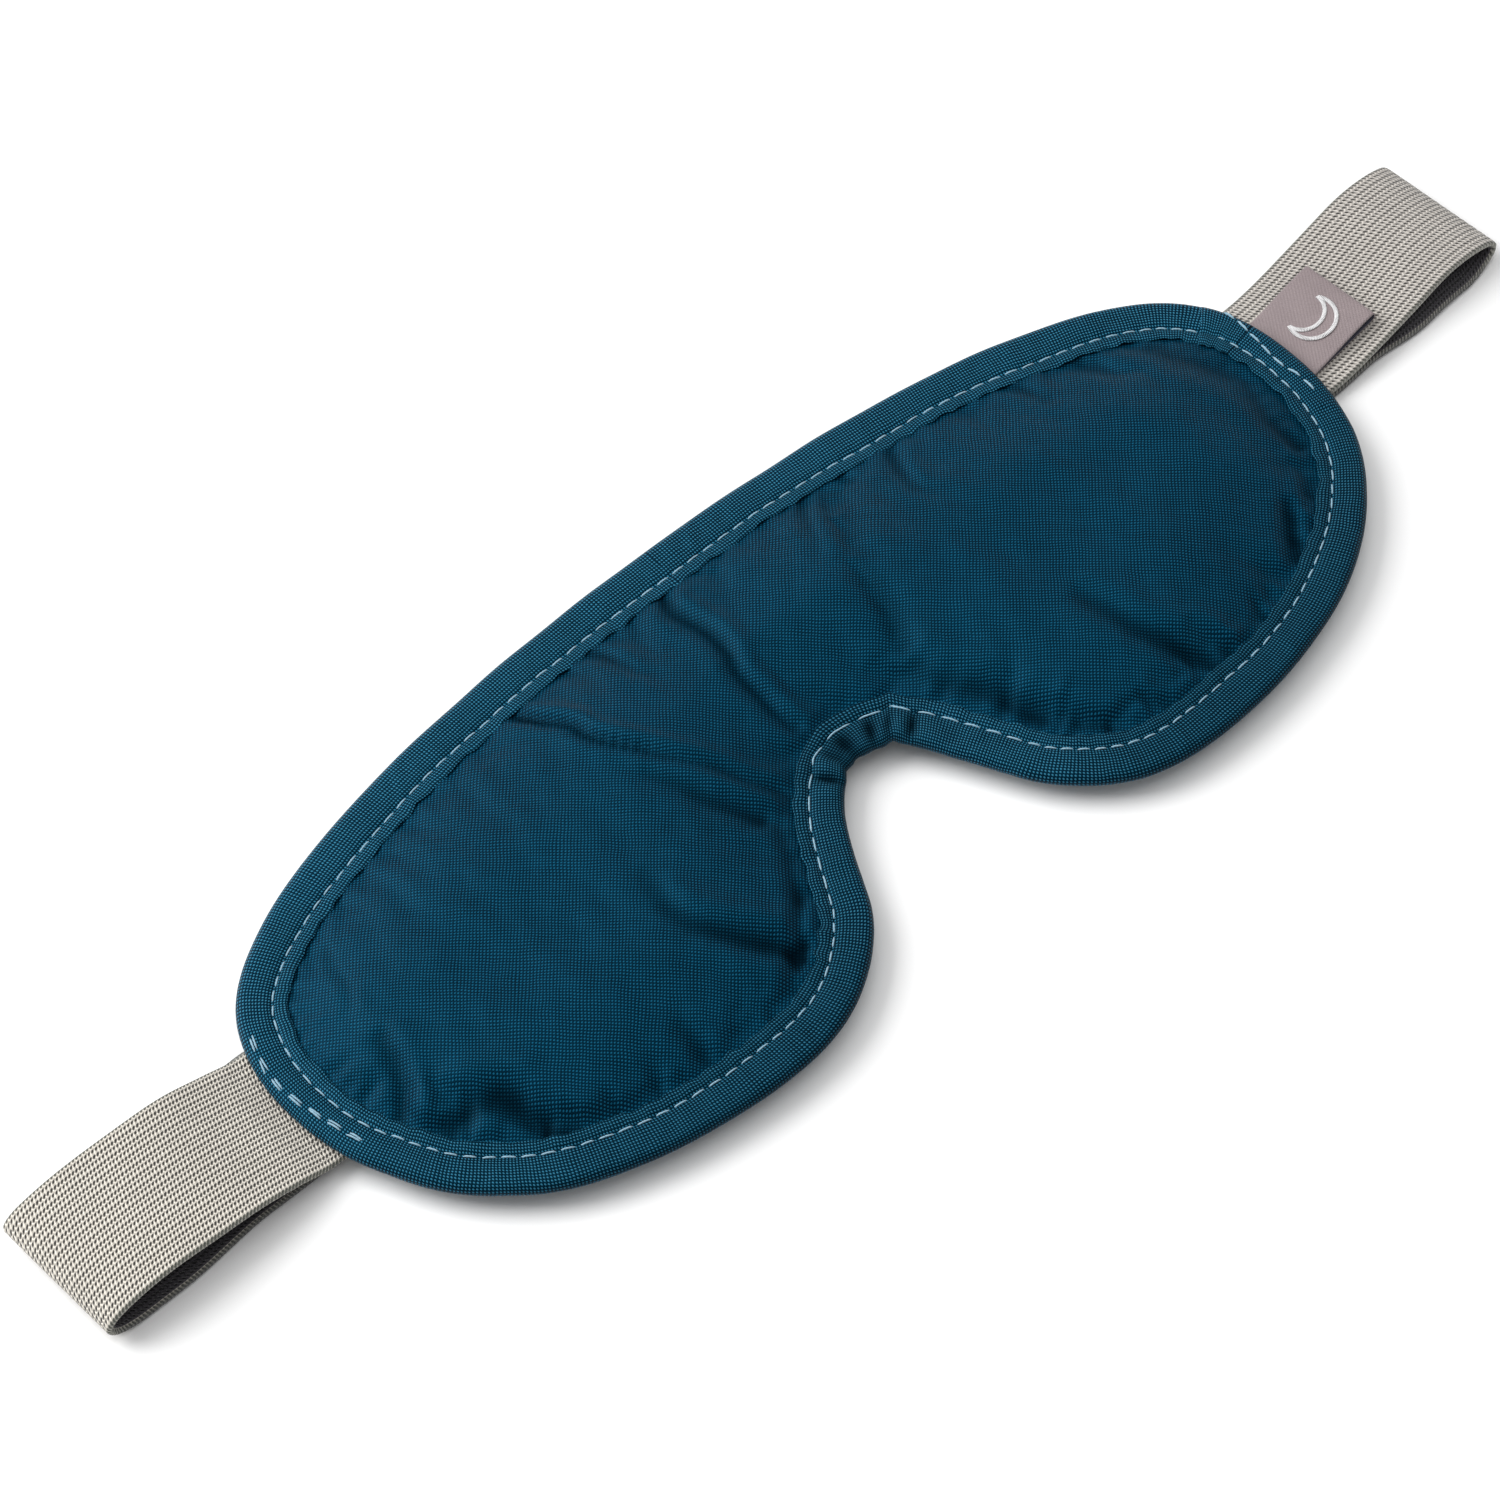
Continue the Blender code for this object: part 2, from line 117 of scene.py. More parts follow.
def edge_distance(x, y):
    """Distance from the outline, negative outside, and the nearest arc length."""
    q = np.stack([np.ravel(x), np.ravel(y)], 1)
    d, s = np.empty(len(q)), np.empty(len(q))
    a, b = _sp, np.roll(_sp, -1, axis=0)
    ab = b - a
    l2 = (ab * ab).sum(1)
    for k in range(0, len(q), 3000):
        c = q[k:k + 3000]
        i = ((c[:, None, :] - a[None]) ** 2).sum(2).argmin(1)
        best, at = np.full(len(c), 1e9), np.zeros(len(c))
        sign = np.ones(len(c))
        for j in (i - 1, i):
            j = np.mod(j, len(a))
            ap = c - a[j]
            t = np.clip((ap * ab[j]).sum(1) / l2[j], 0, 1)
            r = ap - ab[j] * t[:, None]
            g = np.linalg.norm(r, axis=1)
            cross = ab[j][:, 0] * ap[:, 1] - ab[j][:, 1] * ap[:, 0]
            m = g < best
            best[m], at[m] = g[m], (_ss[j] + t * 0.3)[m]
            sign[m] = np.where(cross[m] < 0, 1.0, -1.0)
        d[k:k + 3000], s[k:k + 3000] = best * sign, at
    return d.reshape(np.shape(x)), s.reshape(np.shape(x))


def s_near(x, y):
    return float(edge_distance(np.array([x]), np.array([y]))[1][0])


S_TIP = s_near(109.8, -0.8)
S_LOBE = s_near(46.2, -48.9)


def waves(x, y, seed, lo, hi, n=14, stretch=1.0, turn=0.0):
    """Smooth random field of about unit size with wavelengths lo to hi."""
    rng = np.random.RandomState(seed)
    c, s_ = math.cos(math.radians(turn)), math.sin(math.radians(turn))
    u, v = x * c + y * s_, (-x * s_ + y * c) / stretch
    out = np.zeros(np.shape(x))
    for _ in range(n):
        lam = math.exp(rng.uniform(math.log(lo), math.log(hi)))
        a = rng.uniform(0, math.pi)
        out = out + np.sin(2 * math.pi * (u * math.cos(a) + v * math.sin(a)) / lam + rng.uniform(0, 6.28))
    return out / math.sqrt(n / 2.0)


def along(s, seed, lo, hi, n=12):
    """Smooth random function of arc length, closed round the loop."""
    rng = np.random.RandomState(seed)
    out = np.zeros(np.shape(s))
    for _ in range(n):
        lam = math.exp(rng.uniform(math.log(lo), math.log(hi)))
        k = max(1, round(LOOP / lam))
        out = out + np.sin(2 * math.pi * k * np.asarray(s) / LOOP + rng.uniform(0, 6.28))
    return out / math.sqrt(n / 2.0)


def stitch_d(s):
    """How far in the binding's stitch line runs."""
    h = np.mod(s, LOOP)
    h = np.minimum(h, LOOP - h)
    xs = [0.0, 0.55 * S_TIP, S_TIP, S_LOBE, NOTCH_S]
    t = np.interp(h, xs, [0.0, 1.0, 2.0, 3.0, 4.0])
    v = np.array([6.6, 6.6, 5.7, 6.4, 5.9, 5.9])
    i = np.minimum(t.astype(int), 3)
    f = smooth01(t - i)
    return v[i] * (1 - f) + v[i + 1] * f + 0.10 * along(s, 5, 25, 90)


def notch_w(s):
    return np.exp(-((np.mod(s, LOOP) - NOTCH_S) / 13.0) ** 4)


# gathers in the binding round the notch: arc length from the notch, depth, half width
PLEATS = [(-14.5, 0.30, 1.8), (-8.4, 1.00, 1.0), (-5.3, 0.70, 0.8), (-2.9, 0.95, 1.0), (0.6, 0.90, 1.3),
          (2.9, 0.60, 0.9), (6.3, 0.95, 0.9), (10.2, 0.25, 1.4)]


def pleat(s):
    out = np.zeros(np.shape(s))
    for c, a, w in PLEATS:
        out = out + a * np.exp(-((np.mod(s, LOOP) - NOTCH_S - c) / w) ** 2)
    return out


# how far the sewn edge strays inwards: arc length from the notch, mm; gathers give it cusps there
WANDER = np.array([
    (-200, 0), (-180, 0.1), (-168, 0.3), (-150, 0.1), (-132, -0.3), (-120, 0.1), (-60, 0.15), (-48, -0.3), (-36, -0.35),
    (-24, -0.72), (-16, -0.80), (-13, -0.58), (-11, -0.34), (-9, -0.06), (-7.6, 0.22), (-6.6, 0.52), (-5.7, 1.02),
    (-5.2, 0.66), (-4.5, 0.16), (-3.8, -0.02), (-2.6, -0.10), (-1.4, -0.20), (-0.5, -0.14), (0.5, 0.16), (1.2, 0.20),
    (2.0, 0.08), (3.0, 0.30), (3.8, 0.50), (4.6, 0.24), (5.6, 0.0), (7, 0.02), (12, 0.1), (24, -0.05), (36, 0.1),
    (48, -0.2), (60, -0.3), (84, -0.42), (96, -0.7), (108, -0.8), (120, -0.25), (132, 0.3), (145, 0.0), (168, -0.3),
    (180, -0.28), (204, -0.14), (240, 0.0)]).T


def edge_wander(s):
    """How far the sewn edge strays inwards from the clean outline."""
    c = np.mod(s, LOOP) - NOTCH_S
    return 0.045 * along(s, 2, 14, 50) + np.interp(c, WANDER[0], WANDER[1])


# ================================================================ heights
CREASES = [
    # points, depth, half width, strength at start, strength at end
    ([(-38, 31), (-35.5, 25.5), (-33, 21), (-32, 16), (-28, 9), (-24.5, 3.5), (-21, -1), 
      (-18.5, -5.5), (-15.5, -9.5), (-14.5, -12)], 0.80, 1.15, 1.0, 0.7),
    ([(-30, 5), (-27.5, 0), (-26, -4.5), (-23.5, -8.5), (-21.5, -12.5)], 0.75, 1.90, 0.4, 0.9),
    ([(-4, 31.5), (-5, 27.5), (-4.5, 24), (-4, 19.5), (-4.5, 15), (-6, 10), (-6, 4.5), (-6, 0.5), 
      (-5, -4.5)], 0.75, 1.40, 0.9, 0.7),
    ([(-20, 31.5), (-19, 28), (-18.5, 24.5), (-18, 21), (-16, 17.5)], 0.60, 1.20, 1.0, 0.1),
    ([(-43, -9), (-44.5, -15), (-43.5, -20), (-41.5, -23.5), (-38.5, -27.5), (-35.5, -31.5), 
      (-32.5, -34.5)], 1.10, 2.10, 0.2, 1.0),
    ([(-19.5, -15), (-22.5, -20), (-24.5, -23.5), (-26.5, -27), (-29.5, -30.5), (-31, -33.5)], 0.85, 1.30, 0.2, 1.0),
    ([(-33.5, -34), (-35.5, -36.5), (-37.5, -38.5), (-40, -40)], 0.70, 1.40, 1.0, 0.3),
    ([(-56, -32), (-56, -35.5), (-56.5, -39)], 0.60, 1.50, 0.4, 1.0),
    ([(-72.5, -32), (-72.5, -34.5), (-73, -37)], 0.45, 0.90, 0.3, 1.0),
    ([(-79, -30), (-78, -33), (-78, -36)], 0.45, 0.90, 0.3, 1.0),
    ([(-65, -37), (-65, -38.5), (-64.5, -40.5)], 0.35, 0.90, 0.4, 1.0),
    ([(-94, -21.5), (-89.5, -21.5), (-85.5, -22.5), (-83, -25)], 0.85, 2.40, 0.9, 0.5),
    ([(-84.5, -23), (-84, -26.5), (-82.5, -31), (-80.5, -35.5)], 1.05, 2.60, 0.4, 1.0),
    ([(-92, -3), (-92.5, -5.5), (-93.5, -9), (-95.5, -12.5), (-98, -15.5)], 0.65, 1.50, 0.5, 0.8),
    ([(-87.5, 16), (-89, 12), (-90, 8), (-92, 4)], 0.35, 0.90, 0.6, 0.4),
    ([(-85.5, 15.5), (-87, 11.5), (-89.5, 6)], 0.22, 0.90, 0.5, 0.3),
    ([(26.5, 31.5), (23.5, 26.5), (21, 21.5), (19, 18)], 0.45, 1.20, 1.0, 0.2),
    ([(31.5, 27.5), (26.5, 19.5), (22.5, 12), (21, 7), (19.5, 2.5), (17.5, -3)], 0.45, 2.30, 0.4, 1.0),
    ([(27, 12.5), (23.5, 4), (20.5, -2.5), (18, -7.5)], 0.30, 2.20, 0.3, 0.8),
    ([(44.5, 29), (42.5, 25), (41.5, 22), (41, 18.5), (42, 15)], 0.60, 1.30, 1.0, 0.2),
    ([(34.5, 30.5), (35, 28), (35.5, 24.5)], 0.40, 1.10, 1.0, 0.1),
    ([(68.5, 28), (69, 24), (69.5, 20.5), (70, 16.5)], 0.60, 1.50, 1.0, 0.3),
    ([(78.5, 26), (81, 21), (82, 16), (83.5, 12.5)], 0.50, 1.90, 1.0, 0.2),
    ([(91.5, 14), (92.5, 9.5), (95, 5.5), (97, 1)], 0.45, 2.40, 0.8, 0.5),
    ([(97, -5), (95.5, -10), (95.5, -13.5), (96.5, -17)], 0.60, 1.70, 0.3, 1.0),
    ([(85.5, -24.5), (83, -28), (81, -31), (79.5, -33.5)], 0.95, 1.60, 0.7, 1.0),
    ([(93, -23), (90.5, -25), (88, -27)], 0.55, 1.30, 0.8, 0.8),
    ([(68, -33), (67.5, -35.5), (67, -38)], 0.45, 0.90, 0.3, 1.0),
    ([(70.5, -33), (70, -35.5), (70, -37.5)], 0.40, 0.90, 0.3, 1.0),
    ([(45, -16), (46.5, -21), (47.5, -25.5), (49, -29), (51, -33), (53.5, -37), (56, -40.5)], 1.00, 2.10, 0.3, 1.0),
    ([(55.5, -31.5), (57, -35.5), (59, -40)], 0.80, 1.30, 0.4, 1.0),
    ([(40, -35.5), (42, -38.5), (44.5, -41.5)], 0.45, 1.10, 0.5, 1.0),
    ([(28.5, -29), (30.5, -33), (33, -36)], 0.65, 1.60, 0.4, 1.0),
    ([(14, -6), (17.5, -10.5), (20, -14.5), (23, -18.5), (24.5, -23), (26, -27.5)], 0.75, 2.40, 0.3, 1.0),
    ([(-52, 34), (-51, 27), (-51.5, 16)], 0.16, 1.5, 0.9, 0.1),
    ([(-60, 32.5), (-59, 24), (-58.5, 14)], 0.14, 1.6, 0.9, 0.1),
    ([(-67, 30), (-66, 22), (-66, 12)], 0.16, 1.5, 0.9, 0.1),
    ([(-75, 26), (-74, 18), (-73, 9)], 0.14, 1.6, 0.9, 0.1),
]


def catmull(pts, n):
    p = np.array(pts, float)
    p = np.vstack([2 * p[0] - p[1], p, 2 * p[-1] - p[-2]])
    out = []
    m = len(p) - 3
    for t in np.linspace(0, m - 1e-6, n):
        i, f = int(t), t - int(t)
        a, b, c, d = p[i:i + 4]
        out.append(0.5 * ((2 * b) + (c - a) * f + (2 * a - 5 * b + 4 * c - d) * f * f + (3 * b - a - 3 * c + d) * f ** 3))
    return np.array(out)


def crease_field(x, y):
    out = np.zeros(np.shape(x))
    for pts, depth, w, k0, k1 in CREASES:
        line = catmull(pts, 40)
        reach = 5 * w
        m = ((x > line[:, 0].min() - reach) & (x < line[:, 0].max() + reach)
             & (y > line[:, 1].min() - reach) & (y < line[:, 1].max() + reach))
        if not m.any():
            continue
        qx, qy = x[m], y[m]
        d2 = (qx[:, None] - line[:, 0]) ** 2 + (qy[:, None] - line[:, 1]) ** 2
        i = d2.argmin(1)
        t = i / 39.0
        d = np.sqrt(d2[np.arange(len(i)), i])
        k = (k0 + (k1 - k0) * t) * np.where(d > 0, 1, 1)
        ends = np.exp(-(np.maximum(0, 0) / w) ** 2)
        tang = np.gradient(line, axis=0)[i]
        side = np.sign(tang[:, 0] * (qy - line[i, 1]) - tang[:, 1] * (qx - line[i, 0]))
        prof = -np.exp(-(d / w) ** 2) + 0.55 * np.exp(-((d - 2.1 * w) / (1.1 * w)) ** 2) * (1.0 + 0.35 * side)
        # the profile is rubbed out past the two ends of the line
        over = np.where((i == 0) | (i == 39), np.abs((qx - line[i, 0]) * tang[:, 0] + (qy - line[i, 1]) * tang[:, 1])
                        / np.maximum(np.linalg.norm(tang, axis=1), 1e-6), 0.0)
        out[m] += 1.25 * depth * k * prof * np.exp(-(over / (0.9 * w)) ** 2) * ends
    return np.where(out < 0, -1.25 * np.tanh(-out / 1.25), out)


def seam_puckers(d, s):
    """Small gathers that run inwards from the stitch line."""
    rng = np.random.RandomState(31)
    out = np.zeros(np.shape(d))
    a = 3.0
    while a < LOOP - 3:
        h = min(a, LOOP - a)
        lower = h > S_TIP + 6
        depth = rng.uniform(0.10, 0.36) * (1.25 if lower else 0.75)
        w = rng.uniform(0.75, 1.3)
        run = rng.uniform(2.5, 6.5)
        lean = rng.uniform(-0.35, 0.35)
        ds = np.mod(s - a + LOOP / 2, LOOP) - LOOP / 2
        ds = ds - lean * (d - 8.5)
        wide = w * (1 + 0.10 * np.maximum(d - 8.5, 0))
        out -= depth * (np.exp(-(ds / wide) ** 2) - 0.45 * np.exp(-((np.abs(ds) - 2 * wide) / wide) ** 2)) \
            * np.exp(-np.maximum(d - 8.5, 0) / run)
        a += rng.uniform(3.6, 9.5) if lower else rng.uniform(5.0, 12.0)
    return out


def dome_lift(x, y, d):
    t = np.clip((d - 7.9) / 23.0, 0, 1)
    dome = CROWN * (0.72 * (1 - (1 - t) ** 2.2) + 0.28 * smooth01(t))
    return dome - 0.75 * np.exp(-(x / 13.0) ** 2) * smooth01((d - 9) / 10)


def panel_lift(x, y, d, s):
    """Height of the front panel above where it leaves the binding."""
    dome = dome_lift(x, y, d)
    grow = smooth01((d - 8.0) / 3.0)
    soft = 0.10 * waves(x, y, 11, 9, 22, stretch=2.2, turn=8) + 0.20 * waves(x, y, 12, 24, 60, stretch=1.5)
    soft = soft + 0.045 * waves(x, y, 13, 4.5, 9, stretch=2.0, turn=-12)
    upper_left = smooth01((y - 4) / 10) * smooth01((-x - 38) / 10)
    soft = soft + 0.10 * upper_left * np.sin(2 * math.pi * (x + 0.12 * y) / 7.1 + 0.8 * waves(x, y, 14, 20, 40))
    return dome + grow * (soft + crease_field(x, y)) + smooth01((d - 7.4) / 1.2) * seam_puckers(d, s)


def binding_top(s, d):
    """Top face of the binding, d in from the edge."""
    sd = stitch_d(s)
    lip = sd + LIP
    e = np.clip(d / 1.35, 0, 1)
    z = Z_MID + (HALF_T - 0.05) * np.sqrt(np.clip(1 - (1 - e) ** 2, 0, 1))
    span = np.clip((d - 0.4) / (sd - 0.4), 0, 1)
    puff = 0.20 + 0.05 * along(s, 7, 7, 30) + 0.03 * along(s, 8, 3.2, 6)
    z = z + puff * np.sin(math.pi * span ** 0.8) * (d < sd)
    # stitches draw the fabric down, most where each one enters
    ph = np.mod(s, LOOP) / LOOP * round(LOOP / PITCH)
    pull = 0.30 + 0.07 * np.cos(2 * math.pi * ph)
    z = z - pull * np.exp(-((d - sd) / 0.62) ** 2)
    z = z + 0.035 * np.cos(2 * math.pi * ph) * np.exp(-((d - sd) / 2.0) ** 2)
    over = np.clip((d - sd) / LIP, 0, 1)
    z = z + over * (0.16 + 0.10 * along(s, 9, 5, 18)) + 0.10 * np.sin(math.pi * over)
    # gathers round the notch
    z = z - 0.95 * pleat_depth(s, d, sd) + notch_w(s) * 0.38 * np.sin(math.pi * np.clip(d / sd, 0, 1))
    # drag lines between edge and stitches
    z = z + 0.035 * along(s + 0.9 * d, 17, 2.2, 5) * np.sin(math.pi * np.clip(d / sd, 0, 1))
    return np.where(d > 1.0, np.maximum(z, Z_MID + 0.34), z)


def pleat_depth(s, d, sd):
    return pleat(s + 0.10 * (d - 3)) * np.sin(math.pi * np.clip(d / (sd + 0.25), 0.03, 1.0)) ** 0.8


def lip_in(s):
    return stitch_d(s) + LIP + 0.14 * along(s, 15, 4, 14) + 0.05 * along(s, 16, 1.8, 4)


# ================================================================ mesh helpers
def mesh_object(name, verts, faces, smooth=True, uv=None, face_mats=None, mats=()):
    me = bpy.data.meshes.new(name)
    me.from_pydata((np.asarray(verts) * MM).tolist(), [], np.asarray(faces).tolist())
    me.update()
    if smooth:
        me.shade_smooth()
    if uv is not None:
        layer = me.uv_layers.new(name="UVMap")
        idx = np.empty(len(me.loops), int)
        me.loops.foreach_get("vertex_index", idx)
        layer.data.foreach_set("uv", np.asarray(uv, np.float32)[idx].ravel())
    for m in mats:
        me.materials.append(m)
    if face_mats is not None:
        me.polygons.foreach_set("material_index", np.asarray(face_mats, np.int32))
    o = bpy.data.objects.new(name, me)
    bpy.context.scene.collection.objects.link(o)
    return o


def sheet(name, step, dmin, top, bottom, mats=(), clip=None):
    """Closed padded sheet inside the outline, its edge snapped onto distance dmin."""
    xs = np.arange(-112, 112 + step, step)
    ys = np.arange(-52, 44 + step, step)
    gx, gy = np.meshgrid(xs, ys, indexing="ij")
    d, _ = edge_distance(gx, gy)
    cd = (d[:-1, :-1] + d[1:, :-1] + d[:-1, 1:] + d[1:, 1:]) / 4
    keep = cd > dmin
    used = np.zeros(gx.shape, bool)
    for a in (slice(0, -1), slice(1, None)):
        for b in (slice(0, -1), slice(1, None)):
            used[a, b] |= keep
    inner = np.zeros(gx.shape, bool)
    k = np.zeros((gx.shape[0] + 1, gx.shape[1] + 1), bool)
    k[1:-1, 1:-1] = keep
    inner = k[:-1, :-1] & k[1:, :-1] & k[:-1, 1:] & k[1:, 1:]
    border = used & ~inner
    g0 = np.gradient(d, step, axis=0)
    g1 = np.gradient(d, step, axis=1)
    gl = np.maximum(np.hypot(g0, g1), 0.2)
    mv = np.where(border, dmin - d, 0.0)
    px, py = gx + g0 / gl * mv, gy + g1 / gl * mv
    ids = -np.ones(gx.shape, int)
    ids[used] = np.arange(used.sum())
    x, y = px[used], py[used]
    dd, ss = edge_distance(x, y)
    n = len(x)
    zt, zb = top(x, y, dd, ss), bottom(x, y, dd, ss)
    verts = np.vstack([np.stack([x, y, zt], 1), np.stack([x, y, zb], 1)])
    i, j = np.nonzero(keep)
    q = np.stack([ids[i, j], ids[i + 1, j], ids[i + 1, j + 1], ids[i, j + 1]], 1)
    faces = [q, q[:, ::-1] + n]
    e = np.vstack([q[:, [0, 1]], q[:, [1, 2]], q[:, [2, 3]], q[:, [3, 0]]])
    key = np.sort(e, 1)
    _, inv, cnt = np.unique(key, axis=0, return_inverse=True, return_counts=True)
    rim = e[cnt[np.ravel(inv)] == 1]
    faces.append(np.stack([rim[:, 1], rim[:, 0], rim[:, 0] + n, rim[:, 1] + n], 1))
    uv = np.vstack([np.stack([x, y], 1)] * 2)
    return mesh_object(name, verts, np.vstack(faces), uv=uv, mats=mats), n


def ring_mesh(points, closed, cap=True):
    """Quads for an array (stations, ring, 3); ring is always closed."""
    ns, nr = points.shape[:2]
    verts = points.reshape(-1, 3)
    last = ns if closed else ns - 1
    i, k = np.meshgrid(np.arange(last), np.arange(nr), indexing="ij")
    i, k = i.ravel(), k.ravel()
    i2, k2 = (i + 1) % ns, (k + 1) % nr
    return verts, np.stack([i * nr + k, i * nr + k2, i2 * nr + k2, i2 * nr + k], 1)


def tube(path, radius, sides=8, plies=2, turns=1.5, phase=0.0, taper=True):
    """A short twisted thread along path, its ends drawn in."""
    path = np.asarray(path, float)
    n = len(path)
    t = np.gradient(path, axis=0)
    t /= np.linalg.norm(t, axis=1)[:, None]
    up = np.array([0, 0, 1.0])
    b = np.cross(t, up)
    b /= np.maximum(np.linalg.norm(b, axis=1), 1e-9)[:, None]
    nn = np.cross(b, t)
    a = np.linspace(0, 2 * math.pi, sides, endpoint=False)
    u = np.linspace(0, 1, n)
    out = np.zeros((n, sides, 3))
    for i in range(n):
        tw = phase + turns * 2 * math.pi * u[i]
        r = radius * (1 + 0.20 * np.cos(plies * (a - tw)))
        if taper:
            r = r * (0.55 + 0.45 * min(1.0, 4.5 * u[i], 4.5 * (1 - u[i])))
        out[i] = path[i] + np.outer(np.cos(a) * r, b[i]) + np.outer(np.sin(a) * r, nn[i])
    return out


def join_tubes(name, tubes, mats, uv_scale=1.0):
    verts, faces, uvs, base = [], [], [], 0
    for ti, p in enumerate(tubes):
        ns, nr = p.shape[:2]
        v, f = ring_mesh(p, False)
        mid0, mid1 = p[0].mean(0), p[-1].mean(0)
        v = np.vstack([v, mid0, mid1])
        tri = []
        for k in range(nr):
            k2 = (k + 1) % nr
            tri.append((k2, k, ns * nr, ns * nr))
            tri.append(((ns - 1) * nr + k, (ns - 1) * nr + k2, ns * nr + 1, ns * nr + 1))
        f = f[:, ::-1]
        verts.append(v)
        faces.extend((f + base).tolist())
        faces.extend([[c + base for c in q[:3]][::-1] for q in tri])
        seg = np.repeat(np.arange(ns), nr) * 0.3 + ti * 1.7
        ang = np.tile(np.arange(nr) / nr, ns)
        uvs.append(np.vstack([np.stack([seg, ang], 1), [[ti * 1.7, 0], [ti * 1.7, 1]]]))
        base += len(v)
    me = bpy.data.meshes.new(name)
    me.from_pydata((np.vstack(verts) * MM).tolist(), [], faces)
    me.update()
    me.shade_smooth()
    layer = me.uv_layers.new(name="UVMap")
    idx = np.empty(len(me.loops), int)
    me.loops.foreach_get("vertex_index", idx)
    layer.data.foreach_set("uv", np.vstack(uvs).astype(np.float32)[idx].ravel())
    for m in mats:
        me.materials.append(m)
    o = bpy.data.objects.new(name, me)
    bpy.context.scene.collection.objects.link(o)
    return o


# ================================================================ materials
class Nodes:
    """Small helper that writes shader nodes as expressions."""

    def __init__(self, name):
        self.m = bpy.data.materials.new(name)
        self.m.use_nodes = True
        self.t = self.m.node_tree
        self.p = self.t.nodes["Principled BSDF"]

    def put(self, sock, val):
        if isinstance(val, bpy.types.NodeSocket):
            self.t.links.new(val, sock)
        elif val is not None:
            if hasattr(sock.default_value, "__len__") and not hasattr(val, "__len__"):
                val = [val] * len(sock.default_value)
            sock.default_value = val

    def node(self, kind, ins=None, **props):
        n = self.t.nodes.new(kind)
        for k, v in props.items():
            setattr(n, k, v)
        for k, v in (ins or {}).items():
            self.put(n.inputs[k], v)
        return n

    def math(self, op, a, b=None, c=None, clamp=False):
        n = self.node("ShaderNodeMath", operation=op, use_clamp=clamp)
        for i, v in enumerate((a, b, c)):
            if v is not None:
                self.put(n.inputs[i], v)
        return n.outputs[0]

    def mix(self, f, a, b, kind="RGBA", blend="MIX"):
        n = self.node("ShaderNodeMix", data_type=kind)
        if kind == "RGBA":
            n.blend_type = blend
            self.put(n.inputs[0], f)
            self.put(n.inputs[6], a)
            self.put(n.inputs[7], b)
            return n.outputs[2]
        self.put(n.inputs[0], f)
        self.put(n.inputs[2], a)
        self.put(n.inputs[3], b)
        return n.outputs[0]

    def uv(self):
        n = self.node("ShaderNodeUVMap", uv_map="UVMap")
        s = self.node("ShaderNodeSeparateXYZ", {0: n.outputs[0]})
        return n.outputs[0], s.outputs[0], s.outputs[1]

    def noise(self, vec, scale, detail=3.0, rough=0.55):
        n = self.node("ShaderNodeTexNoise", {"Vector": vec, "Scale": scale, "Detail": detail, "Roughness": rough})
        return n.outputs[0]

    def ramp(self, v, lo, hi, a=0.0, b=1.0):
        n = self.node("ShaderNodeMapRange", {0: v, 1: lo, 2: hi, 3: a, 4: b}, clamp=True)
        return n.outputs[0]

    def bump(self, h, dist, strength=1.0, normal=None):
        n = self.node("ShaderNodeBump", {"Strength": strength, "Distance": dist, "Height": h})
        if normal is not None:
            self.put(n.inputs["Normal"], normal)
        return n.outputs[0]

    def scaled(self, v, sx, sy):
        n = self.node("ShaderNodeMapping", {"Vector": v, "Scale": (sx, sy, 1.0)})
        return n.outputs[0]


def rgb(r, g, b):
    """sRGB 0-255 to a linear colour."""
    f = lambda c: (c / 255 / 12.92) if c / 255 <= 0.04045 else ((c / 255 + 0.055) / 1.055) ** 2.4
    return (f(r), f(g), f(b), 1.0)


def plain_weave(w, x, y, turn, pitch):
    """Height and yarn parity of a plain weave; x and y in mm."""
    c, s_ = math.cos(math.radians(turn)), math.sin(math.radians(turn))
    a = w.math("MULTIPLY_ADD", x, c / pitch, w.math("MULTIPLY_ADD", y, s_ / pitch, 2000.0))
    b = w.math("MULTIPLY_ADD", x, -s_ / pitch, w.math("MULTIPLY_ADD", y, c / pitch, 2000.0))
    par = w.math("MODULO", w.math("ADD", w.math("FLOOR", a), w.math("FLOOR", b)), 2.0)
    ya = w.math("SINE", w.math("MULTIPLY", w.math("FRACT", a), math.pi))
    yb = w.math("SINE", w.math("MULTIPLY", w.math("FRACT", b), math.pi))
    h1 = w.math("MULTIPLY", ya, w.math("MULTIPLY_ADD", yb, 0.55, 0.45))
    h2 = w.math("MULTIPLY", yb, w.math("MULTIPLY_ADD", ya, 0.55, 0.45))
    return w.mix(par, h1, h2, kind="FLOAT"), par


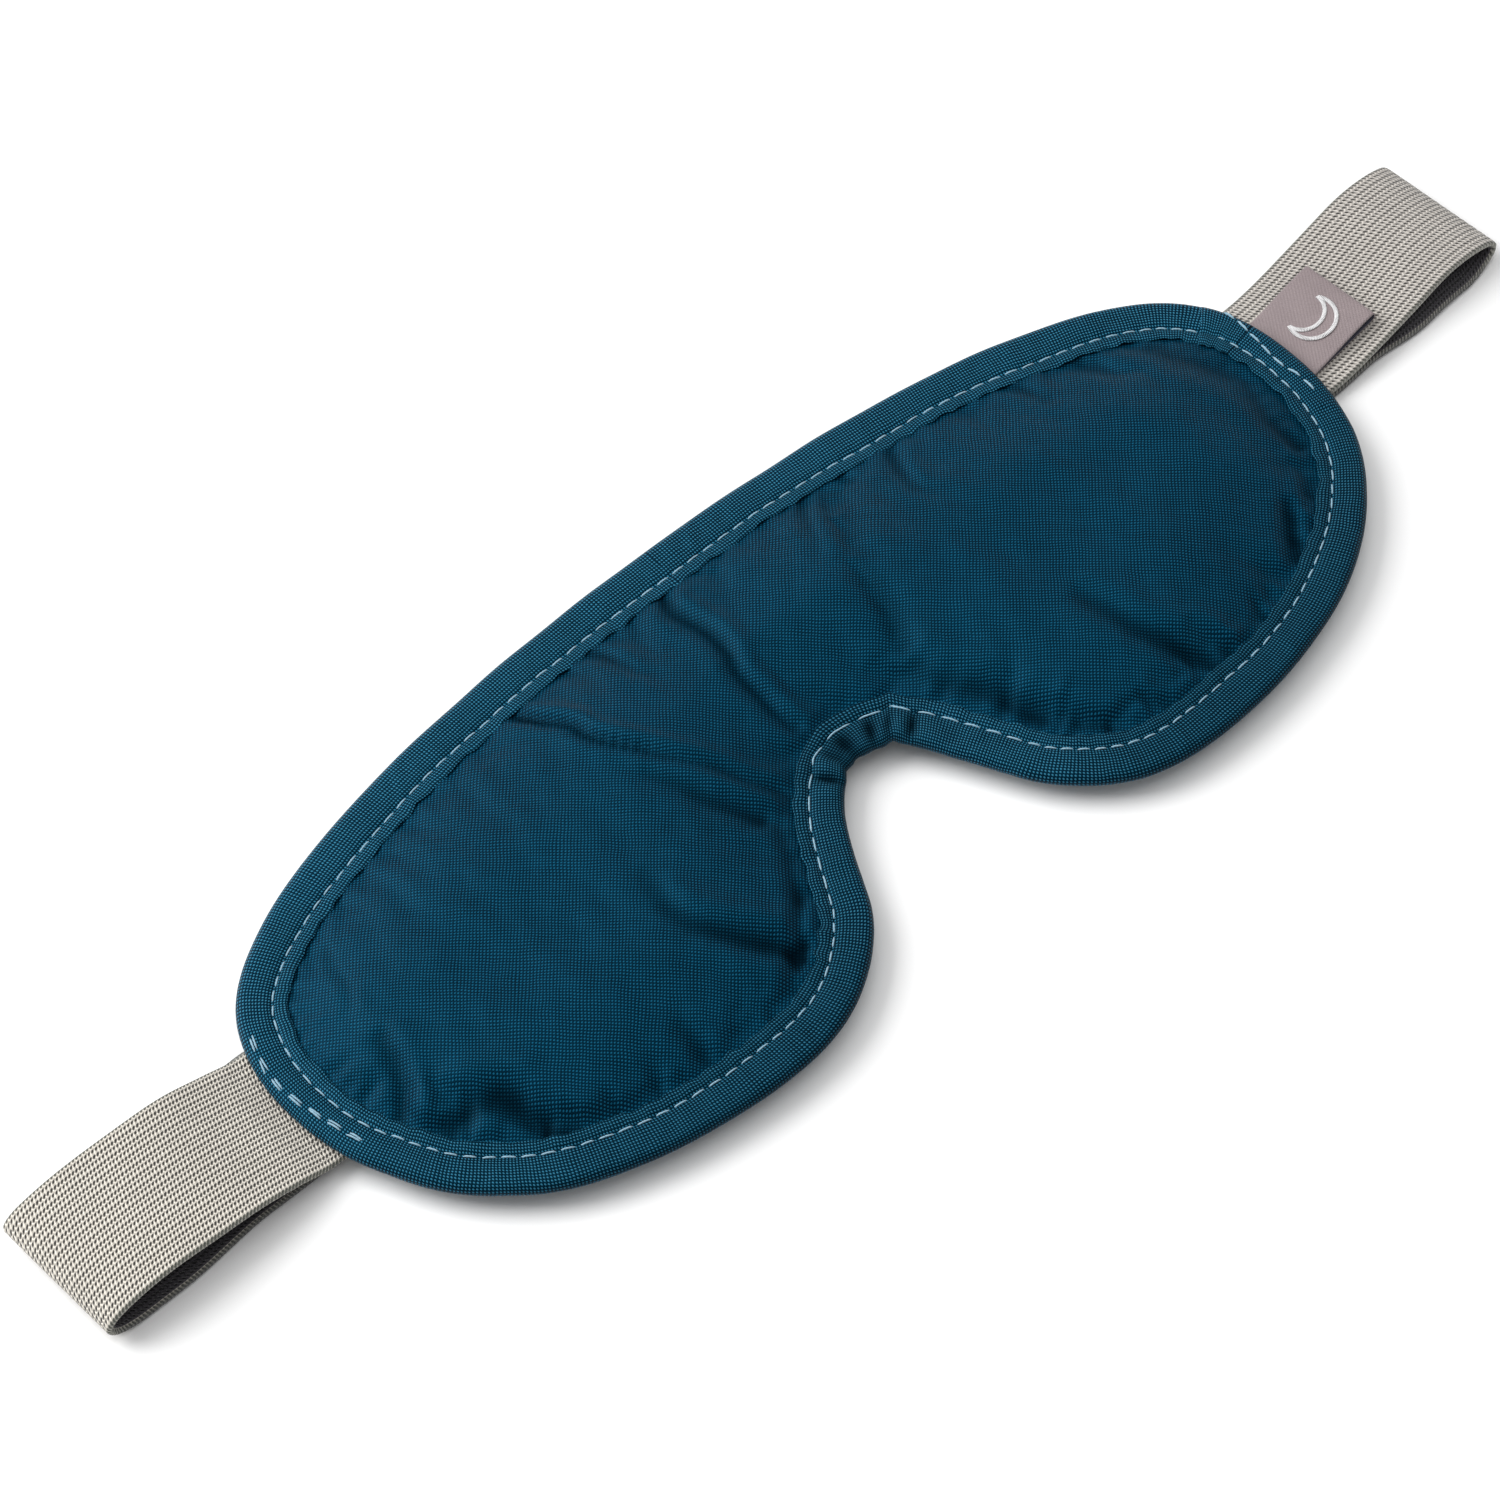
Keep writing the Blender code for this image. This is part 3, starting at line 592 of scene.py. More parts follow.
def fabric(name, light, mid, dark, turn, pitch, rough, weave_depth, tint, spec=0.35):
    """Fine plain weave; the yarns of one direction catch more light, so they show as rows of dots."""
    w = Nodes(name)
    vec, x, y = w.uv()
    wob = w.noise(vec, 0.12, 2.0)
    wob2 = w.noise(w.scaled(vec, 1.0, -1.0), 0.15, 2.0)
    xw = w.math("ADD", x, w.math("MULTIPLY", w.math("SUBTRACT", wob, 0.5), 0.8))
    yw = w.math("ADD", y, w.math("MULTIPLY", w.math("SUBTRACT", wob2, 0.5), 0.8))
    h, par = plain_weave(w, xw, yw, turn, pitch)
    big = w.noise(vec, 0.05, 3.0)
    mid_n = w.noise(vec, 0.35, 4.0)
    fine = w.noise(vec, 2.6, 3.0)
    rot = w.node("ShaderNodeVectorRotate", {"Vector": vec, "Angle": -math.radians(turn + 45)}, rotation_type="Z_AXIS")
    slub_a = w.noise(w.scaled(rot.outputs[0], 0.06, 2.2), 1.0, 2.0)
    slub_b = w.noise(w.scaled(rot.outputs[0], 2.2, 0.06), 1.0, 2.0)
    slub = w.math("SUBTRACT", w.math("ADD", slub_a, slub_b), 1.0)
    dot = w.math("MULTIPLY", par, w.math("POWER", h, 1.3))
    gapd = w.math("SUBTRACT", 1.0, h)
    tone = w.math("MULTIPLY_ADD", dot, 1.10, 0.275)
    tone = w.math("SUBTRACT", tone, w.math("MULTIPLY", gapd, 0.20))
    tone = w.math("ADD", tone, w.math("MULTIPLY", slub, 0.20))
    tone = w.math("ADD", tone, w.math("MULTIPLY", w.math("SUBTRACT", big, 0.5), 0.25))
    tone = w.math("ADD", tone, w.math("MULTIPLY", w.math("SUBTRACT", mid_n, 0.5), 0.22))
    tone = w.math("ADD", tone, w.math("MULTIPLY", w.math("SUBTRACT", fine, 0.5), 0.30), clamp=True)
    r = w.node("ShaderNodeValToRGB", {0: tone})
    e = r.color_ramp.elements
    e[0].position, e[0].color = 0.0, dark
    e[1].position, e[1].color = 1.0, light
    m = e.new(0.42)
    m.color = mid
    # painted shade: a per-vertex attribute darkens the colour towards the dark yarn tone and dims the reflection in
    # creases, gathers and on sides turned from the light
    fold = w.node("ShaderNodeAttribute", attribute_name="fold").outputs["Fac"]
    col = w.mix(w.math("MULTIPLY", fold, 0.92, clamp=True), r.outputs[0], dark)
    w.put(w.p.inputs["Base Color"], col)
    w.put(w.p.inputs["Roughness"], w.math("MULTIPLY_ADD", slub, 0.25, rough))
    w.put(w.p.inputs["Specular IOR Level"], w.math("MULTIPLY", w.math("SUBTRACT", 1.0, w.math("MULTIPLY", fold, 0.8)), spec))
    w.put(w.p.inputs["Specular Tint"], tint)
    relief = w.math("ADD", h, w.math("MULTIPLY", fine, 0.35))
    w.put(w.p.inputs["Normal"], w.bump(relief, weave_depth, 0.8))
    return w.m


def thread_material(name, light, dark):
    w = Nodes(name)
    vec, x, y = w.uv()
    a = w.math("ADD", w.math("MULTIPLY", x, 3.1), w.math("MULTIPLY", y, 4.0))
    fib = w.math("SINE", w.math("MULTIPLY", a, 6.2832))
    n = w.noise(vec, 3.0, 3.0)
    tone = w.math("ADD", w.math("MULTIPLY_ADD", fib, 0.22, 0.45), w.math("MULTIPLY", w.math("SUBTRACT", n, 0.5), 0.8), clamp=True)
    w.put(w.p.inputs["Base Color"], w.mix(tone, dark, light))
    w.put(w.p.inputs["Roughness"], w.math("MULTIPLY_ADD", n, 0.2, 0.42))
    w.put(w.p.inputs["Sheen Weight"], 0.35)
    w.put(w.p.inputs["Normal"], w.bump(fib, 0.00004, 0.6))
    return w.m


def elastic_material(name, across, along_u, second_at, second_k, light, dark, hole, hole_k=1.75):
    """Knitted elastic: u along the band, v across it, both in mm."""
    w = Nodes(name)
    vec, u, v = w.uv()
    wob = w.noise(vec, 0.5, 2.0)
    uw = w.math("ADD", u, w.math("MULTIPLY", w.math("SUBTRACT", wob, 0.5), 0.35))
    vv = w.math("FRACT", w.math("ADD", w.math("DIVIDE", v, across), 500.0))
    uu = w.math("ADD", w.math("DIVIDE", uw, along_u), 500.0)

    def row(at, width, phase, lean):
        d = w.math("SUBTRACT", vv, at)
        d = w.math("SUBTRACT", w.math("FRACT", w.math("ADD", d, 1.5)), 0.5)
        g = w.math("POWER", 2.7183, w.math("MULTIPLY", w.math("MULTIPLY", d, d), -1.0 / (width * width)))
        ph = w.math("ADD", uu, w.math("MULTIPLY_ADD", d, lean, phase))
        c = w.math("MULTIPLY_ADD", w.math("COSINE", w.math("MULTIPLY", ph, 6.2832)), 0.5, 0.5)
        return w.math("MULTIPLY", w.math("MULTIPLY", g, hole_k), w.math("POWER", c, 1.1)), d, g

    h1, d1, g1 = row(0.0, 0.155, 0.0, 1.9)
    h2, d2, g2 = row(second_at, 0.135, 0.5, 1.9)
    cord = w.math("SUBTRACT", vv, 0.17)
    cord = w.math("POWER", 2.7183, w.math("MULTIPLY", w.math("MULTIPLY", cord, cord), -1.0 / (0.055 * 0.055)))
    # loops lean one way above the middle of a rib and the other way below it
    lean = w.math("ABSOLUTE", w.math("SUBTRACT", vv, 0.46))
    loop = w.math("COSINE", w.math("MULTIPLY", w.math("SUBTRACT", uu, w.math("MULTIPLY", lean, 1.9)), 6.2832))
    holes = w.math("ADD", h1, w.math("MULTIPLY", h2, second_k), clamp=True)
    grain = w.noise(vec, 4.0, 3.0)
    dirt = w.noise(vec, 0.09, 3.0)
    tone = w.math("MULTIPLY_ADD", loop, 0.28, 0.60)
    tone = w.math("ADD", tone, w.math("MULTIPLY", cord, 0.25))
    tone = w.math("SUBTRACT", tone, w.math("MULTIPLY", g1, 0.12))
    tone = w.math("ADD", tone, w.math("MULTIPLY", w.math("SUBTRACT", grain, 0.5), 0.55))
    tone = w.math("ADD", tone, w.math("MULTIPLY", w.math("SUBTRACT", dirt, 0.5), 0.25), clamp=True)
    col = w.mix(tone, dark, light)
    col = w.mix(w.math("MULTIPLY", holes, 0.97), col, hole)
    # the corded edges are a little darker and greener
    e = w.ramp(w.math("ABSOLUTE", v), 11.75, 12.3)
    col = w.mix(w.math("MULTIPLY", e, 0.6), col, rgb(112, 116, 106))
    # the under run's edge lies in the loop's own shade
    under = w.node("ShaderNodeAttribute", attribute_name="under").outputs["Fac"]
    col = w.mix(w.math("MULTIPLY", under, 0.8), col, rgb(52, 53, 60))
    w.put(w.p.inputs["Base Color"], col)
    w.put(w.p.inputs["Roughness"], w.math("MULTIPLY_ADD", grain, 0.15, 0.72))
    w.put(w.p.inputs["Specular IOR Level"], 0.25)
    w.put(w.p.inputs["Sheen Weight"], 0.25)
    relief = w.math("SUBTRACT", w.math("MULTIPLY_ADD", loop, 0.22, w.math("MULTIPLY", cord, 0.35)), holes)
    relief = w.math("ADD", relief, w.math("MULTIPLY", grain, 0.3))
    w.put(w.p.inputs["Normal"], w.bump(relief, 0.00028, 0.9))
    return w.m


def satin_material(name, light, dark):
    w = Nodes(name)
    vec, x, y = w.uv()
    a = w.math("ADD", w.math("MULTIPLY", x, 1 / 0.42), w.math("MULTIPLY_ADD", y, 1 / 0.30, 500.0))
    rib = w.math("SINE", w.math("MULTIPLY", a, 6.2832))
    b = w.math("SINE", w.math("MULTIPLY", y, 6.2832 / 0.22))
    n = w.noise(vec, 3.0, 3.0)
    big = w.noise(vec, 0.12, 2.0)
    tone = w.math("ADD", w.math("MULTIPLY_ADD", rib, 0.20, 0.5), w.math("MULTIPLY", w.math("SUBTRACT", n, 0.5), 0.6))
    tone = w.math("ADD", tone, w.math("MULTIPLY", w.math("SUBTRACT", big, 0.5), 0.5), clamp=True)
    w.put(w.p.inputs["Base Color"], w.mix(tone, dark, light))
    w.put(w.p.inputs["Roughness"], w.math("MULTIPLY_ADD", n, 0.2, 0.38))
    w.put(w.p.inputs["Sheen Weight"], 0.3)
    w.put(w.p.inputs["Normal"], w.bump(w.math("ADD", rib, w.math("MULTIPLY", b, 0.5)), 0.00004, 0.7))
    return w.m


def rough_material(name, light, dark, scale, depth, rough):
    w = Nodes(name)
    vec, x, y = w.uv()
    n = w.noise(vec, scale, 5.0)
    w.put(w.p.inputs["Base Color"], w.mix(n, dark, light))
    w.put(w.p.inputs["Roughness"], w.math("MULTIPLY_ADD", n, 0.2, rough))
    w.put(w.p.inputs["Normal"], w.bump(n, depth, 0.8))
    return w.m


M_FRONT = fabric("front_weave", rgb(18, 82, 110), rgb(0, 33, 52), rgb(0, 8, 16), 3.0, 0.375, 0.44, 0.00005,
                 (0.03, 0.45, 0.80, 1.0), 0.22)
M_BIND = fabric("binding_weave", rgb(52, 119, 148), rgb(0, 31, 48), rgb(0, 8, 15), 45.0, 0.375, 0.46, 0.00006,
                (0.03, 0.45, 0.80, 1.0), 0.22)
M_LINING = fabric("lining_weave", rgb(22, 66, 90), rgb(6, 40, 60), rgb(2, 22, 36), 45.0, 0.34, 0.7, 0.00008,
                  (0.3, 0.6, 0.9, 1.0), 0.2)
M_FILM = rough_material("blackout_coat", rgb(30, 30, 32), rgb(16, 16, 18), 1.5, 0.00005, 0.55)
M_FOAM = rough_material("padding_fibre", rgb(232, 230, 220), rgb(196, 194, 186), 1.2, 0.00025, 0.8)
M_THREAD = thread_material("stitch_thread", rgb(172, 210, 226), rgb(84, 134, 162))
M_WHITE = thread_material("label_thread", rgb(252, 252, 252), rgb(222, 220, 222))
M_ELASTIC_L = elastic_material("elastic_left", 1.74, 0.68, 0.52, 0.92, rgb(247, 241, 229), rgb(164, 158, 147), rgb(20, 18, 15), 1.9)
# the right strap's elastic is drawn darker than the left's: painted shade for the strap on the side turned from the key
# light
M_ELASTIC_R = elastic_material("elastic_right", 2.0, 0.74, 0.50, 0.95, rgb(226, 220, 212), rgb(142, 136, 130), rgb(30, 27, 25), 1.45)
# painted shade: a darker copy of the elastic for the faces inside the strap loops, where they lie in shade
M_INSIDE_SHADE = elastic_material("elastic_inside_painted_shade", 1.74, 0.80, 0.50, 0.90, rgb(86, 83, 88), rgb(54, 52, 58), rgb(20, 19, 22))
M_LABEL = satin_material("label_weave", rgb(158, 143, 144), rgb(112, 99, 102))
# painted shade: a dark bluish copy of the label weave for its inner faces, in the shade between the two plies
M_LABEL_INNER_SHADE = satin_material("label_inner_painted_shade", rgb(74, 74, 92), rgb(44, 44, 60))


# ================================================================ mask
def simulate_wrinkles():
    """Cloth run on the front panel: pinned round the seam, a little too large for its outline and
    pressed from below. Returns the height it gained on a grid, for the fine panel."""
    step = 1.5
    xs = np.arange(-112, 112 + step, step)
    ys = np.arange(-52, 44 + step, step)
    gx, gy = np.meshgrid(xs, ys, indexing="ij")
    d, s = edge_distance(gx, gy)
    ok = d > 6.6
    keep = ok[:-1, :-1] & ok[1:, :-1] & ok[:-1, 1:] & ok[1:, 1:]
    used = np.zeros(gx.shape, bool)
    for a in (slice(0, -1), slice(1, None)):
        for b in (slice(0, -1), slice(1, None)):
            used[a, b] |= keep
    ids = -np.ones(gx.shape, int)
    ids[used] = np.arange(used.sum())
    x, y, dd = gx[used], gy[used], d[used]
    z = Z_PANEL + panel_lift(x, y, dd, s[used])
    i, j = np.nonzero(keep)
    q = np.stack([ids[i, j], ids[i + 1, j], ids[i + 1, j + 1], ids[i, j + 1]], 1)
    me = bpy.data.meshes.new("cloth_run")
    me.from_pydata((np.stack([x, y, z], 1) * 0.01).tolist(), [], q.tolist())
    me.update()
    o = bpy.data.objects.new("cloth_run", me)
    bpy.context.scene.collection.objects.link(o)
    g = o.vertex_groups.new(name="pin")
    for k in np.nonzero(dd < 9.2)[0]:
        g.add([int(k)], 1.0, "REPLACE")
    mod = o.modifiers.new("cloth", "CLOTH")
    st = mod.settings
    st.quality = 6
    st.mass = 0.12
    st.tension_stiffness = 12
    st.compression_stiffness = 12
    st.shear_stiffness = 4
    st.bending_stiffness = 0.02
    st.tension_damping = st.compression_damping = st.shear_damping = 3
    st.air_damping = 4
    st.vertex_group_mass = "pin"
    st.shrink_min = -0.035
    st.effector_weights.gravity = 0.0
    st.use_pressure = True
    st.uniform_pressure_force = 0.6
    mod.collision_settings.use_collision = False
    mod.collision_settings.use_self_collision = False
    scene = bpy.context.scene
    mod.point_cache.frame_start, mod.point_cache.frame_end = 1, 30
    for fr in range(1, 23):
        scene.frame_set(fr)
    ev = o.evaluated_get(bpy.context.evaluated_depsgraph_get())
    co = np.empty(len(me.vertices) * 3)
    ev.data.vertices.foreach_get("co", co)
    gain = co.reshape(-1, 3)[:, 2] / 0.01 - z
    scene.frame_set(1)
    bpy.data.objects.remove(o)
    out = np.zeros(gx.shape)
    out[used] = gain
    return xs[0], ys[0], step, out, (float(np.abs(gain).max()), float(gain.std()))


WRINKLE = None
WRINKLE = simulate_wrinkles()
print("cloth: largest and rms height change, mm", WRINKLE[4])


def wrinkle(x, y):
    if WRINKLE is None:
        return 0.0
    x0, y0, step, g, _ = WRINKLE
    u, v = (x - x0) / step, (y - y0) / step
    i = np.clip(u.astype(int), 0, g.shape[0] - 2)
    j = np.clip(v.astype(int), 0, g.shape[1] - 2)
    a, b = u - i, v - j
    a, b = a * a * (3 - 2 * a), b * b * (3 - 2 * b)
    h = (g[i, j] * (1 - a) * (1 - b) + g[i + 1, j] * a * (1 - b) + g[i, j + 1] * (1 - a) * b + g[i + 1, j + 1] * a * b)
    return 0.9 * np.tanh(h / 0.9)


def panel_top(x, y, d, s):
    return np.maximum(Z_PANEL + panel_lift(x, y, d, s) + wrinkle(x, y), Z_MID + 0.64)


front, n_front = sheet("front_panel", 0.72, 5.4, panel_top,
                       lambda x, y, d, s: np.maximum(panel_top(x, y, d, s) - 0.32, Z_MID + 0.30), [M_FRONT])
_co = np.array([v.co[:2] for v in front.data.vertices]) / MM
_d, _s = edge_distance(_co[:, 0], _co[:, 1])
# painted shade: the front panel's creases and seam puckers get a darker colour through the attribute below
_crease_shade = np.clip(-(crease_field(_co[:, 0], _co[:, 1]) + 0.8 * seam_puckers(_d, _s)) / 0.95 - 0.05, 0, 1)
_crease_shade[n_front:] = 0.0
crease_shade_attr = front.data.attributes.new("fold", "FLOAT", "POINT")
crease_shade_attr.data.foreach_set("value", _crease_shade.astype(np.float32))


def back_low(x, y, d, s):
    t = np.clip((d - 7.6) / 20.0, 0, 1)
    sag = 1.15 * (1 - (1 - t) ** 2.0) * (1 - 0.5 * np.exp(-(x / 12.0) ** 2))
    tip = smooth01((np.abs(x) - 84) / 12) * smooth01((18 - np.abs(y)) / 5)
    sag = sag * (1 - tip)
    return 4.12 - sag + smooth01((d - 8) / 3) * (0.07 * waves(x, y, 21, 8, 26) - 0.5 * np.minimum(seam_puckers(d, s), 0)) * (1 - tip)


back, _ = sheet("back_panel", 1.2, 5.4, lambda x, y, d, s: np.minimum(back_low(x, y, d, s) + 0.34, Z_MID - 0.30),
                back_low, [M_LINING])
liner, _ = sheet("blackout_liner", 2.4, 6.0, lambda x, y, d, s: back_low(x, y, d, s) + 0.62,
                 lambda x, y, d, s: back_low(x, y, d, s) + 0.42, [M_FILM])
padding, _ = sheet("padding", 1.8, 6.2, lambda x, y, d, s: np.maximum(Z_PANEL + dome_lift(x, y, d) - 1.75, 4.95),
                   lambda x, y, d, s: back_low(x, y, d, s) + 0.72, [M_FOAM])


def build_binding():
    s = np.concatenate([np.arange(0.0, NOTCH_S - 20.0, 0.78), np.arange(NOTCH_S - 20.0, NOTCH_S + 20.0, 0.30),
                        np.arange(NOTCH_S + 20.0, LOOP - 0.4, 0.78)])
    n = len(s)
    p, _, nn = edge_frame(s)
    sd, lip = stitch_d(s), lip_in(s)
    # distances in, as shares: edge to stitch, then stitch to lip
    f1 = np.array([0.0, 0.018, 0.06, 0.12, 0.20, 0.32, 0.45, 0.58, 0.70, 0.79, 0.86, 0.92, 0.96, 1.0])
    f2 = np.array([0.10, 0.22, 0.38, 0.56, 0.74, 0.88, 0.96])
    rows = []
    for f in f1:
        rows.append(sd * f)
    for f in f2:
        rows.append(sd + (lip - sd) * f)
    d_top = np.array(rows)                             # (rows, n)
    z_top = np.array([binding_top(s, d) for d in d_top])
    z_top[0] = Z_MID
    z_low = 2 * Z_MID - z_top
    # the under side is flatter
    z_low = np.maximum(z_low, Z_MID - HALF_T - 0.32)
    end_t, end_z = lip, z_top[-1] - 0.10
    ring_d = [d_top[i] for i in range(len(d_top))]
    ring_z = [z_top[i] for i in range(len(d_top))]
    m = len(ring_d)
    # lip edge and the inside faces
    ring_d += [lip, lip - 0.05, sd - 0.7]
    zi = np.minimum(z_top[-1] - 0.34, z_top[-1] - 0.30)
    zi2 = np.maximum(z_top[len(f1) - 1] - 0.22, Z_PANEL + 0.02)
    ring_z += [z_top[-1] - 0.12, zi, zi2]
    ring_d += [sd - 0.7, lip - 0.05, lip]
    ring_z += [2 * Z_MID - zi2, z_low[-1] + 0.34, z_low[-1] + 0.12]
    for i in range(len(d_top) - 1, 0, -1):
        ring_d.append(d_top[i])
        ring_z.append(z_low[i])
    ring_d, ring_z = np.array(ring_d).T, np.array(ring_z).T        # (n, ring)
    base = p + nn * edge_wander(s)[:, None]
    pts = np.zeros(ring_d.shape + (3,))
    pts[..., :2] = base[:, None, :] + nn[:, None, :] * ring_d[..., None]
    pts[..., 2] = ring_z
    # gathers shear the fabric sideways a little
    t = np.stack([-nn[:, 1], nn[:, 0]], 1)
    pts[..., :2] += t[:, None, :] * (0.25 * np.gradient(pleat(s), s)[:, None] * np.clip(ring_d / 4, 0, 1))[..., None]
    # seam vertices are doubled so that the texture runs round without a jump
    pts = np.concatenate([pts, pts[:1]])
    ns, nr = pts.shape[:2]
    pts = np.concatenate([pts, pts[:, :1]], 1)
    nr1 = nr + 1
    run = np.concatenate([[0.0], np.cumsum(np.linalg.norm(np.diff(pts, axis=1), axis=2).mean(0))])
    uv = np.zeros((ns, nr1, 2))
    mid_row = np.concatenate([[0.0], np.cumsum(np.linalg.norm(np.diff(pts[:, 9], axis=0), axis=1))])
    uv[..., 0] = mid_row[:, None]
    uv[..., 1] = run[None]
    i, k = np.meshgrid(np.arange(ns - 1), np.arange(nr), indexing="ij")
    i, k = i.ravel(), k.ravel()
    faces = np.stack([i * nr1 + k, (i + 1) * nr1 + k, (i + 1) * nr1 + k + 1, i * nr1 + k + 1], 1)
    o = mesh_object("binding", pts.reshape(-1, 3), faces, uv=uv.reshape(-1, 2), mats=[M_BIND])
    depth = np.zeros((ns, nr1))
    up = len(d_top)
    sc = np.concatenate([s, s[:1]])
    # painted shade in the gathers round the notch
    shade = np.array([pleat_depth(sc, np.append(d, d[0]), np.append(sd, sd[0])) for d in d_top]).T
    depth[:, :up] = np.clip(shade - 0.12, 0, 1)
    # painted shade: the binding's side turned away from the key light is darkened, most of all on its outer rim where
    # it turns under
    low_side = np.clip(-nn @ np.array([0.25, -0.97]), 0, 1)
    low_side = np.append(low_side, low_side[0])[:, None]
    depth[:, :up] += low_side * (0.32 + 0.40 * np.exp(-(np.vstack([d_top.T, d_top.T[:1]]) / 0.75) ** 2))
    depth[:, -1] = depth[:, 0]
    paint_shade(o, np.clip(depth, 0, 1).ravel())
    weld_keep_uv(o)
    return o


def paint_shade(o, value):
    """Per-vertex painted shade, 0 to 1, for creases, gathers and sides turned from the light; the cloth's material is
    darkened and its reflection dimmed there.
    """
    a = o.data.attributes.new("fold", "FLOAT", "POINT")
    a.data.foreach_set("value", np.asarray(value, np.float32))


def weld_keep_uv(o):
    """Closes doubled seam vertices; UVs live on corners, so they stay."""
    import bmesh
    bm = bmesh.new()
    bm.from_mesh(o.data)
    bmesh.ops.remove_doubles(bm, verts=bm.verts[:], dist=1e-7)
    bmesh.ops.recalc_face_normals(bm, faces=bm.faces[:])
    bm.to_mesh(o.data)
    bm.free()
    o.data.shade_smooth()


binding = build_binding()


def build_lap():
    """The binding's finishing end, folded under and laid over its start near the label."""
    s0 = s_near(103.5, 13.5)
    n, rows = 26, 22
    s = np.linspace(s0, s0 + 9.0, n)
    p, t, nn = edge_frame(s)
    p = p + nn * edge_wander(s)[:, None]
    sd, lip = stitch_d(s), lip_in(s)
    f = np.linspace(0.035, 1.0, rows)
    top = np.zeros((n, rows, 3))
    for k in range(rows):
        d = f[k] * (lip + 0.25)
        skew = (f[k] - 0.5) * 2.0
        ss = s + skew * np.linspace(1, 0, n)
        q, _, nq = edge_frame(ss)
        q = q + nq * edge_wander(ss)[:, None]
        z = binding_top(ss, d)
        rise = 0.30 * np.minimum(1, np.linspace(0, 1, n) * 14) * np.minimum(1, (1 - np.linspace(0, 1, n)) * 1.2 + 0.05)
        top[:, k, :2] = q + nq * d[:, None]
        top[:, k, 2] = z + 0.02 + rise * (0.55 + 0.45 * np.sin(math.pi * f[k]))
    low = top.copy()
    low[..., 2] -= 0.26
    ring = np.concatenate([top, low[:, ::-1]], 1)
    v, fc = ring_mesh(ring, False)
    nr = ring.shape[1]
    fc = fc.tolist()
    a, b = list(range(nr)), [(n - 1) * nr + k for k in range(nr)]
    for k in range(rows - 1):
        fc.append([a[k], a[k + 1], a[nr - 2 - k], a[nr - 1 - k]][::-1])
        fc.append([b[k], b[k + 1], b[nr - 2 - k], b[nr - 1 - k]])
    uv = np.zeros((n, nr, 2))
    uv[..., 0] = s[:, None]
    uv[:, :rows, 1] = np.linspace(0.3, 9, rows)[None]
    uv[:, rows:, 1] = np.linspace(9, 0.3, rows)[None]
    o = mesh_object("binding_lap", v, fc, uv=uv.reshape(-1, 2), mats=[M_BIND])
    weld_keep_uv(o)
    return o


lap = build_lap()


def stitch_row(name, s_list, d_of, top, radius, length, slack=0.0, seed=1, sink=0.16, twin=0.0):
    rng = np.random.RandomState(seed)
    out = []
    if twin:
        s_list = np.repeat(s_list, 2)
    for i, sc in enumerate(s_list):
        ln = length * rng.uniform(0.93, 1.06)
        u = np.linspace(-0.5, 0.5, 11)
        s = sc + u * ln + (rng.uniform(-0.35, 0.35) if twin else 0.0)
        d = d_of(s) + rng.uniform(-0.07, 0.07) + u * rng.uniform(-0.16, 0.16) * (1 + slack) + twin * (0.5 - i % 2)
        p, _, nn = edge_frame(s)
        q = p + nn * (edge_wander(s) + d)[:, None]
        arch = 1 - (2 * np.abs(u)) ** 3.0
        z = binding_top(s, d)
        if not top:
            z = np.minimum(z, Z_MID + HALF_T + 0.32)
        h = -sink + (sink + radius * 0.75) * arch
        zz = z + h if top else 2 * Z_MID - z - h
        out.append(tube(np.column_stack([q, zz]), radius * rng.uniform(0.93, 1.07), sides=8,
                        turns=1.6, phase=rng.uniform(0, 6.28)))
    return join_tubes(name, out, [M_THREAD])


n_st = round(LOOP / PITCH)
centres = (np.arange(n_st) + 0.5) * LOOP / n_st
topstitch = stitch_row("topstitch", centres, stitch_d, True, 0.150, 2.72, seed=3)
bobbin = stitch_row("bobbin_stitch", centres + PITCH * 0.1, stitch_d, False, 0.170, 2.62, seed=4)

# strap tacks, left and right, front and back
S_TIP_L = LOOP - S_TIP
left_row = S_TIP_L + np.array([11.7, 7.4, 3.3, -0.8, -4.8, -8.9, -13.0])


def left_d(s):
    return np.interp(s - S_TIP_L, [-14.5, -13.0, -8.9, -4.8, -0.8, 3.3, 7.4, 13.5], [2.7, 2.8, 2.85, 2.4, 1.8, 1.42, 1.45, 1.65])


RIGHT_TACK = np.array([(106.6, 12.0), (106.9, 9.6), (106.7, 5.3), (106.1, -1.5), (106.5, -7.0), (106.1, -13.0)])


def right_tacks(name, top, seed):
    line = catmull(RIGHT_TACK, 200)
    cum = np.concatenate([[0], np.cumsum(np.linalg.norm(np.diff(line, axis=0), axis=1))])
    rng = np.random.RandomState(seed)
    out = []
    a = 0.3
    while a + 2.6 < cum[-1]:
        ln = rng.uniform(2.3, 2.9)
        u = np.linspace(0, 1, 11)
        q = np.stack([np.interp(a + u * ln, cum, line[:, 0]), np.interp(a + u * ln, cum, line[:, 1])], 1)
        q[:, 0] += rng.uniform(-0.1, 0.1) + (u - 0.5) * rng.uniform(-0.2, 0.2)
        d, s = edge_distance(q[:, 0], q[:, 1])
        z = binding_top(s, d)
        arch = 1 - np.abs(2 * u - 1) ** 3
        h = -0.14 + 0.30 * arch
        zz = z + h if top else 2 * Z_MID - np.minimum(z, Z_MID + HALF_T + 0.32) - h
        out.append(tube(np.column_stack([q, zz]), 0.20, turns=1.6, phase=rng.uniform(0, 6.28)))
        a += ln + rng.uniform(0.5, 0.9)
    return join_tubes(name, out, [M_THREAD])


